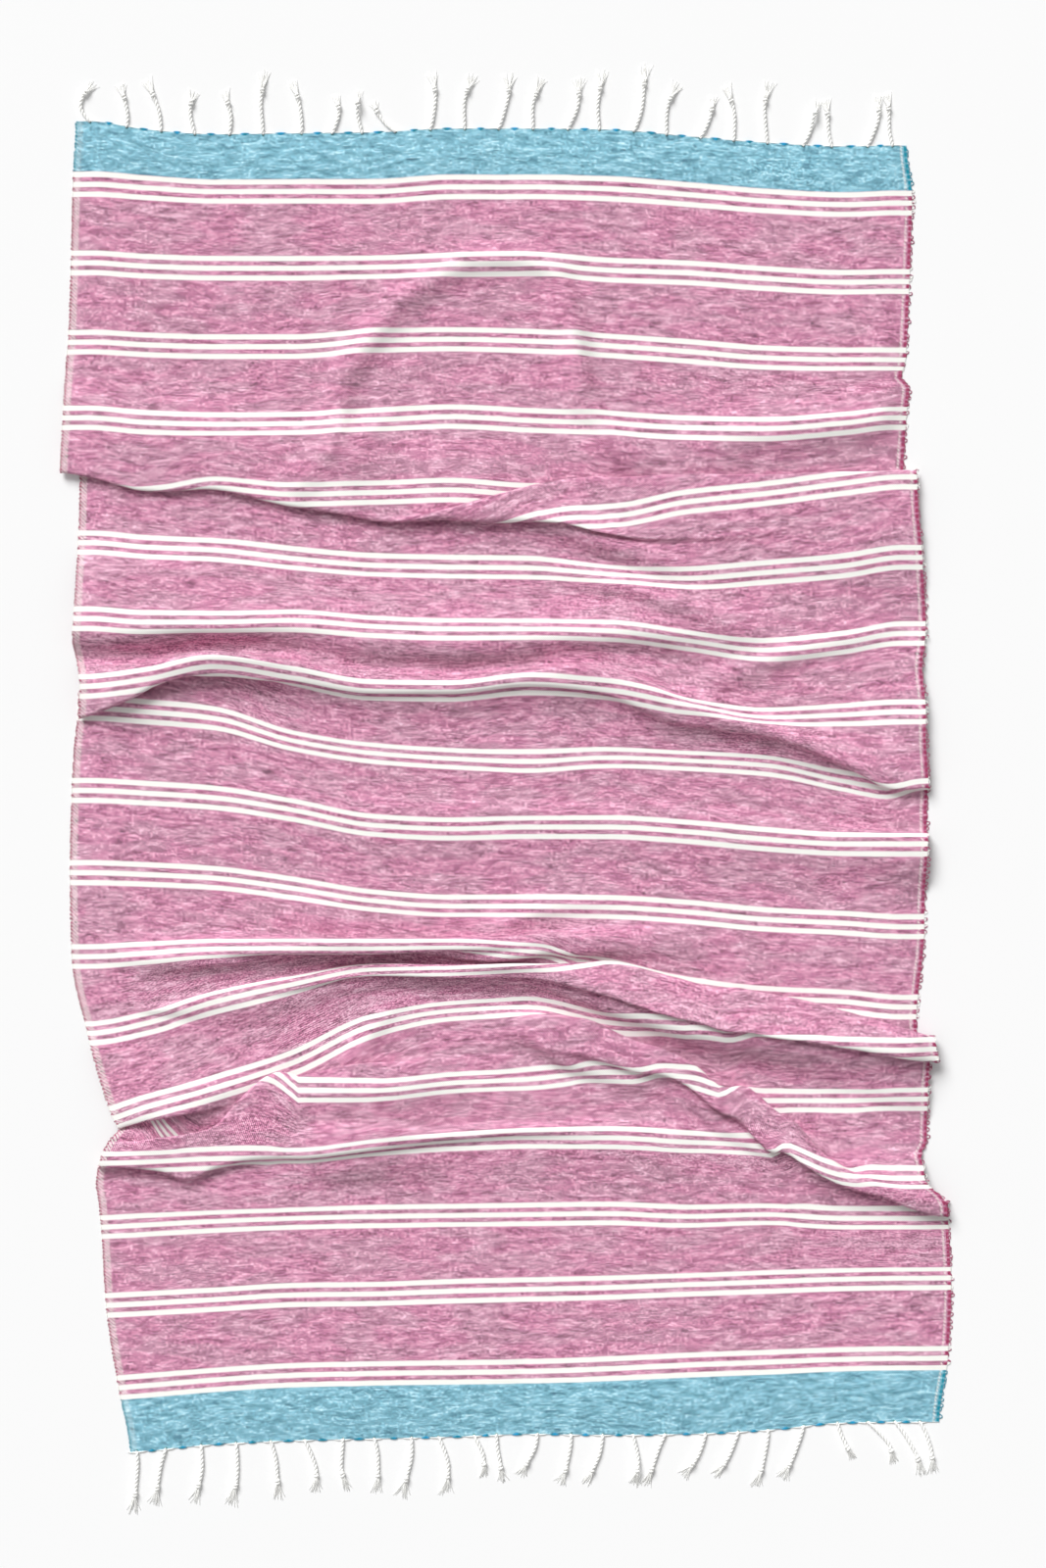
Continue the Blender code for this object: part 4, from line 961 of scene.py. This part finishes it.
for side in SIDES:
    edge = np.stack([x[side.column], down[side.column], z[side.column] + CLOTH_THICKNESS / 2], 1)
    inner = np.stack([x[side.inner], down[side.inner], z[side.inner] + CLOTH_THICKNESS / 2], 1)
    loops = []
    for place in np.arange(side.pitch, CLOTH_LENGTH - side.pitch, side.pitch):
        place += side.pitch * side.uneven * hand.uniform(-0.5, 0.5)
        k = int(place / (v[1] - v[0]))
        out_way = edge[k] - inner[k]
        out_way /= np.linalg.norm(out_way)
        on_way = edge[k + 1] - edge[k - 1]
        on_way /= np.linalg.norm(on_way)
        reach = side.reach * (1 + side.uneven * hand.uniform(-1, 1))
        slant = side.uneven * hand.uniform(-1, 1)
        bend = np.linspace(-LOOP_BEND, LOOP_BEND, LOOP_POINTS)
        line = (edge[k] + np.outer(reach * np.cos(bend), out_way)
                + np.outer(side.span / 2 * np.sin(bend) + slant * np.cos(bend), on_way))
        line[:, 2] = np.maximum(line[:, 2], LOOP_YARN)
        points, faces, marks = yarn(line, LOOP_YARN, LOOP_SIDES)
        flat_across = EDGE_COLOUR_AT if side.column == 0 else CLOTH_WIDTH - EDGE_COLOUR_AT
        marks = [(flat_across * MM, (place + along - side.span) * MM) for _, along in marks]
        loops.append((points, faces, marks))
    made = bundle(side.name, loops, "woven", cloth_material)
    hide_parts("towel_cloth")

# ==== the end edges and fringes ===================================================================
# Past each end of the weave the white warp is gathered about every 36 mm into a bundle, twisted as a two-ply
# cord, tied in a small knot and left brushed out. The last turquoise weft shows in short beads between the
# bundles. The darker teal yarns behind each cord's root are painted shade where the root covers the edge.

# the two plies: radius, distance from the cord's middle, length of a turn, how they pinch at the root and
# how uneven they are
PLY = 1.05
PLY_OFFSET = 0.95
TWIST = 9.5
ROOT_PINCH = 0.5
PINCHED_WITHIN = 0.05
PLY_UNEVEN = 0.06
UNEVEN_TURNS = 0.8
PLY_POINTS = 44
PLY_SIDES = 6
# the cord's line: how far inside the end edge it starts, how it sways, and the shares of its length within
# which it rises at its root, over its knot and over a cord that it crosses
CORD_STARTS = 0.8
SWAY = 0.9
SWAYS = 1.3
SWAY_LAG = 0.37
CORD_RISE = 2.0
ROOT_RISES_IN = 0.10
RISEN_AT_ROOT = 0.55
KNOT_RISES_IN = 0.07
CROSSING_RISES_IN = 0.22
KNOT_AT = 0.76
KNOT_YARN = 1.25
KNOT_ROUND = 1.7
KNOT_LENGTH = 4.6
KNOT_TURNS = 1.75
KNOT_POINTS = 18
# the brushed end: its hairs' number, reach and radius, how they stray, vary, curl and lie in layers, how
# broad the brush is at the knot and how it opens
BRUSH_HAIRS = 13
BRUSH_REACH = 1.4
HAIR = 0.34
HAIR_SHAPE = np.array([1.5, 1.4, 1.2, 0.9, 0.5])
HAIR_SIDES = 4
HAIR_STRAYS = 0.12
HAIR_LENGTHS = (0.75, 1.08)
HAIR_CURLS = 0.2
CURL_LIFTS = 0.9
HAIR_LAYERS = 0.8
HAIR_SINKS = 1.1
NECK = 0.02
BRUSH_NECK = 0.9
BRUSH_OPENS = 0.30
# a cord: where it leaves the end edge, where its tip lies, to which side it bows, and what it lies over
Cord = namedtuple("Cord", "root aside out bow over")
HEAD_CORDS = (
    Cord(18, 7, 40, -14, 0), Cord(57, -8, 42, 4, 0), Cord(94, -14, 52, 3, 0), Cord(130, -3, 43, -3, 0),
    Cord(167, -4, 44, 3, 0), Cord(203, 0, 62, -2, 0), Cord(244, -10, 52, 4, 0), Cord(277, 5, 38, 4, 0),
    Cord(309, -5, 40, -2, 4), Cord(345, -21, 30, -6, 0), Cord(382, 2, 56, 4, 0), Cord(419, 7, 54, -4, 0),
    Cord(455, 11, 54, 3, 0), Cord(492, 8, 50, -4, 0), Cord(529, 13, 50, 4, 0), Cord(563, 3, 58, -3, 0),
    Cord(600, 10, 66, 5, 0), Cord(635, 11, 52, -5, 0), Cord(671, 12, 40, 4, 0), Cord(707, -6, 56, 3, 0),
    Cord(743, 0, 60, -3, 0), Cord(781, 14, 44, 3, 4), Cord(812, -5, 46, -2, 0), Cord(850, 12, 50, 4, 0),
    Cord(877, -3, 52, -3, 0))
FOOT_CORDS = (
    Cord(68, -6, 60, 3, 0), Cord(99, -9, 54, -3, 0), Cord(137, -6, 56, 3, 0), Cord(174, -5, 60, 4, 0),
    Cord(211, 6, 56, 4, 0), Cord(247, 12, 50, 5, 0), Cord(289, 2, 50, -3, 0), Cord(322, 1, 52, 4, 0),
    Cord(362, -11, 58, 4, 0), Cord(391, 9, 56, 5, 0), Cord(429, 12, 40, 3, 0), Cord(453, 8, 46, -2, 0),
    Cord(497, -19, 42, 4, 0), Cord(533, -12, 50, 3, 0), Cord(567, -17, 50, 3, 0), Cord(599, 4, 50, 3, 4),
    Cord(634, -18, 50, -2, 0), Cord(677, -23, 44, 4, 0), Cord(712, -24, 46, 3, 0), Cord(744, -14, 56, 3, 0),
    Cord(782, -24, 54, 3, 0), Cord(818, 18, 36, -3, 0), Cord(850, 28, 40, 6, 0), Cord(879, 27, 52, 5, 0),
    Cord(906, 12, 50, 5, 0))

# the cord's own fibres wind round it under a soft fluff
FIBRES_ROUND = 3.0
FIBRES_ALONG = 0.45
FIBRE_SHARE = 0.35
FLUFF_ROUND = 4.0
FLUFF_ALONG = 1.4
FLUFF_SHARE = 0.65
CORD_WHITE = coloured(250, 249, 245)
CORD_WHITEST = coloured(255, 255, 253)
cord_material, twist, cord_shader = new_material("white_cotton_cord")
mark = twist.node("ShaderNodeUVMap", {"uv_map": "twist"}, {})
round_it = mark.coordinate(0)
along_it = mark.coordinate(1)
fibre = ((round_it * FIBRES_ROUND + along_it * FIBRES_ALONG) * (2 * math.pi)).wave()
fluff = twist.noise(2.0, 0.6, round_it * FLUFF_ROUND, along_it * FLUFF_ALONG, 0.0)
soft = fibre * FIBRE_SHARE + fluff * FLUFF_SHARE
cord_bump = twist.node("ShaderNodeBump", {}, {"Height": soft, "Strength": 0.2, "Distance": YARN_RELIEF})
twist.plug(cord_shader, {"Base Color": soft.mixed(CORD_WHITE, CORD_WHITEST), "Normal": cord_bump,
                         "Roughness": 0.9, "Specular IOR Level": DULL})


def end_line(row):
    """The cloth's end edge: where its points lie across the table, how far down and how high."""
    return middle[:, row, 0], middle[:, row, 1], middle[:, row, 2]


def cord_axis(cord, way, edge, t):
    """Points on a cord's middle line at shares t of its length."""
    edge_x, edge_down, _ = edge
    begin = np.interp(cord.root, edge_x, edge_down)
    sway = SWAY * np.sin(2 * np.pi * (SWAYS * t + cord.root * SWAY_LAG)) * t
    line_x = cord.root + cord.aside * t + cord.bow * np.sin(np.pi * t) + sway
    line_down = begin + way * (cord.out * t - CORD_STARTS * (1 - t))
    at_knot = np.exp(-((t - KNOT_AT) / KNOT_RISES_IN) ** 2)
    at_root = ease(t / ROOT_RISES_IN + RISEN_AT_ROOT)
    rise = CORD_RISE * at_root + (KNOT_ROUND + KNOT_YARN - CORD_RISE) * at_knot
    rise = rise + cord.over * np.exp(-((t - KNOT_AT) / CROSSING_RISES_IN) ** 2)
    return np.stack([line_x, line_down, rise], 1)


def about(line, angle, away):
    """Points that wind round a line."""
    side, over = beside_and_over(line)
    return line + away * (np.cos(angle)[:, None] * side + np.sin(angle)[:, None] * over)


def tasselled(cord, way, edge):
    """One cord: its two plies, its knot and the brushed ends past it."""
    made = []
    t = np.linspace(0, KNOT_AT, PLY_POINTS)
    line = cord_axis(cord, way, edge, t)
    length = np.concatenate([[0.0], np.cumsum(np.linalg.norm(np.diff(line, axis=0), axis=1))])
    spread = PLY_OFFSET * (1 - ROOT_PINCH * np.exp(-t / PINCHED_WITHIN))
    thick = PLY * (1 + PLY_UNEVEN * np.sin(length * UNEVEN_TURNS + cord.root))
    for ply in (0, 1):
        angle = 2 * np.pi * length / TWIST + np.pi * ply + cord.root
        wound = about(line, angle, 1.0)
        wound = line + (wound - line) * spread[:, None]
        made.append(yarn(wound, thick, PLY_SIDES))
    knot_t = KNOT_AT + np.linspace(-0.5, 0.5, KNOT_POINTS) * KNOT_LENGTH / cord.out
    knot_line = cord_axis(cord, way, edge, knot_t)
    knot_angle = np.linspace(0, 2 * np.pi * KNOT_TURNS, KNOT_POINTS) + cord.root
    coil = about(knot_line, knot_angle, KNOT_ROUND)
    coil[:, 2] = np.maximum(coil[:, 2], KNOT_YARN)
    made.append(yarn(coil, KNOT_YARN, PLY_SIDES))
    neck, before = cord_axis(cord, way, edge, np.array([KNOT_AT + NECK, KNOT_AT - NECK]))
    onward = (neck - before) * (1, 1, 0)
    onward /= np.linalg.norm(onward)
    beside = np.array([-onward[1], onward[0], 0.0])
    brush = cord.out * (1 - KNOT_AT) * BRUSH_REACH
    t = np.linspace(0, 1, len(HAIR_SHAPE))
    for hair in range(BRUSH_HAIRS):
        fan = (hair + 0.5) / BRUSH_HAIRS * 2 - 1 + hand.uniform(-HAIR_STRAYS, HAIR_STRAYS)
        reach = brush * hand.uniform(*HAIR_LENGTHS)
        curl = hand.uniform(-HAIR_CURLS, HAIR_CURLS)
        opened = BRUSH_NECK * fan + fan * BRUSH_OPENS * brush * t + curl * brush * t**2
        line = neck + np.outer(t * reach, onward) + np.outer(opened, beside)
        layer = neck[2] + hand.uniform(-HAIR_LAYERS, HAIR_LAYERS)
        line[:, 2] = layer * (1 - ease(t * HAIR_SINKS)) + HAIR + CURL_LIFTS * abs(curl)
        made.append(yarn(line, HAIR * HAIR_SHAPE, HAIR_SIDES))
    return made


# short yarns along the end edges: a fan of warp at each cord's root, darker yarns behind the root that are
# painted shade under it, and turquoise beads between the cords. "outward" is how far past the edge a row's
# first yarn lies, and "step" is from each yarn to the next.
EDGE_YARN = 0.65
EDGE_SHAPE = np.array([0.6, 1, 1.1, 1, 0.6])
EDGE_SIDES = 5
Row = namedtuple("Row", "outward step bulge lift")
FAN_ROW = Row(0.35, -0.3, 0.55, 0.45)
FAN_STARTS = 0.8
FAN_REACHES = (4.5, 9.0)
FAN_UNEVEN = 0.2
ROOT_ROW = Row(-0.7, -0.8, 0.0, 0.75)
ROOT_LENGTHS = (3.4, 2.2)
BEAD_ROW = Row(0.55, -0.85, 0.25, 0.35)
BEAD_LENGTHS = (10.2, 7.4, 4.2)
BEAD_STRAYS = 1.5
BEAD_SCALES = (0.75, 1.1)


def edge_yarn(start, stop, edge, way, row, number):
    """One yarn of a row, laid along an end edge from one place to another."""
    edge_x, edge_down, edge_z = edge
    t = np.linspace(0, 1, len(EDGE_SHAPE))
    outward = row.outward + row.step * number
    line_x = start + (stop - start) * t
    line_down = np.interp(line_x, edge_x, edge_down) + way * (outward + row.bulge * np.sin(np.pi * t))
    line_z = np.interp(line_x, edge_x, edge_z) + row.lift * np.sin(np.pi * np.clip(t, 0.1, 0.9))
    line_z = np.maximum(line_z, EDGE_YARN * EDGE_SHAPE.max())
    return yarn(np.stack([line_x, line_down, line_z], 1), EDGE_YARN * EDGE_SHAPE, EDGE_SIDES)


OBJECT_PLACE = 3
WEFT_TURNS = (0.4, 0.6)


def mottled_teal_material(name, mottling, first, second):
    """Turquoise yarn that turns softly from one shade to another; mottling is in turns a metre."""
    material, mottled, yarn_shader = new_material(name)
    place = mottled.node("ShaderNodeTexCoord", {}, {}, output=OBJECT_PLACE)
    shade = mottled.noise(1.0, 0.5, place.coordinate(0) * mottling, 0.0, 0.0)
    colour = shade.between(*WEFT_TURNS).mixed(coloured(*first), coloured(*second))
    mottled.plug(yarn_shader, {"Base Color": colour, "Roughness": 0.85})
    return material


bead_material = mottled_teal_material("turquoise_weft_ends", 160.0, (20, 138, 160), (34, 162, 212))
# the darker teal here is painted shade under each cord's root, not a darker weft
root_shade_material = mottled_teal_material("painted_shade_behind_roots", 210.0, (8, 92, 92), (14, 128, 120))

fringe_pieces = []
for end_name, node, row, way, cords in (("head", "fringe_head", 0, -1.0, HEAD_CORDS),
                                        ("foot", "fringe_foot", -1, 1.0, FOOT_CORDS)):
    edge = end_line(row)
    twisted = []
    beads = []
    root_shade_yarns = []
    for cord in cords:
        twisted += tasselled(cord, way, edge)
        for to_side in (-1, 1):
            for number, reach in enumerate(FAN_REACHES):
                reach *= 1 + hand.uniform(-FAN_UNEVEN, FAN_UNEVEN)
                twisted.append(edge_yarn(cord.root + to_side * FAN_STARTS, cord.root + to_side * reach,
                                         edge, way, FAN_ROW, number))
        # darker yarns under each cord's root: painted shade
        for number, length in enumerate(ROOT_LENGTHS):
            root_shade_yarns.append(edge_yarn(cord.root - length / 2, cord.root + length / 2,
                                        edge, way, ROOT_ROW, number))
    for cord, following in zip(cords, cords[1:]):
        between = (cord.root + following.root) / 2 + hand.uniform(-BEAD_STRAYS, BEAD_STRAYS)
        scale = hand.uniform(*BEAD_SCALES)
        for number, length in enumerate(BEAD_LENGTHS):
            beads.append(edge_yarn(between - length * scale / 2, between + length * scale / 2,
                                   edge, way, BEAD_ROW, number))
    fringe = bundle(f"fringe_{end_name}_cords", twisted, "twist", cord_material)
    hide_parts(node)
    weft_beads = bundle(f"weft_ends_{end_name}", beads, "twist", bead_material)
    root_shade_bundle = bundle(f"painted_root_shade_{end_name}", root_shade_yarns, "twist", root_shade_material)
    for made in (weft_beads, root_shade_bundle):
        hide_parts("towel_cloth")
    fringe_pieces += [fringe, weft_beads, root_shade_bundle]

# ==== the table and the light =====================================================================
# A plain pale top, only for the picture, with soft daylight on it from beyond the head end and a little to
# the left.
TABLE_SIDE = 8.0
TABLE_BELOW = 0.0002
TABLE_COLOUR = (0.93, 0.93, 0.93, 1.0)
bpy.ops.object.select_all(action="DESELECT")
bpy.ops.mesh.primitive_plane_add(size=TABLE_SIDE, location=(0, 0, -TABLE_BELOW))
bpy.ops.object.transform_apply(location=True, rotation=False, scale=False)
table_top = bpy.context.object
table_top.name = "table_top"
table_material, painted, table_shader = new_material("pale_table")
painted.plug(table_shader, {"Base Color": TABLE_COLOUR, "Roughness": 0.8})
table_top.data.materials.append(table_material)

SKY = 0.38
sky = bpy.data.worlds.new("soft_room")
sky.use_nodes = True
sky.node_tree.nodes["Background"].inputs["Color"].default_value = (1.0, 1.0, 1.0, 1.0)
sky.node_tree.nodes["Background"].inputs["Strength"].default_value = SKY
bpy.context.scene.world = sky

LIGHT_FROM = Vector((-0.6, 1.06, 1.0))
LIGHT_ENERGY = 3.25
LIGHT_SPREAD = math.radians(32)
window = bpy.data.objects.new("window_light", bpy.data.lights.new("window_light", "SUN"))
window.data.energy = LIGHT_ENERGY
window.data.angle = LIGHT_SPREAD
window.location = LIGHT_FROM * 2
window.rotation_mode = "QUATERNION"
window.rotation_quaternion = (-LIGHT_FROM).to_track_quat("-Z", "Y")
bpy.context.scene.collection.objects.link(window)
bpy.context.scene.view_settings.view_transform = "Standard"

# The camera looks straight down; a photo pixel is 1.05 mm on the table.
PIXEL = 1.05
PHOTO_WIDE, PHOTO_HIGH = 1067, 1600
HEAD_CORNER_X, HEAD_CORNER_Y = 75, 124
CAMERA_HEIGHT = 3.6
SENSOR = 36.0
camera = bpy.data.objects.new("camera", bpy.data.cameras.new("camera"))
middle_x = (PHOTO_WIDE / 2 - HEAD_CORNER_X) * PIXEL
middle_down = (PHOTO_HIGH / 2 - HEAD_CORNER_Y) * PIXEL
camera.location = Vector(in_model([middle_x, middle_down, CAMERA_HEIGHT / MM]))
camera.data.sensor_width = SENSOR
camera.data.lens = SENSOR * CAMERA_HEIGHT / (PHOTO_HIGH * PIXEL * MM)
bpy.context.scene.collection.objects.link(camera)
bpy.context.scene.camera = camera

CLOTH_LENGTH * MM
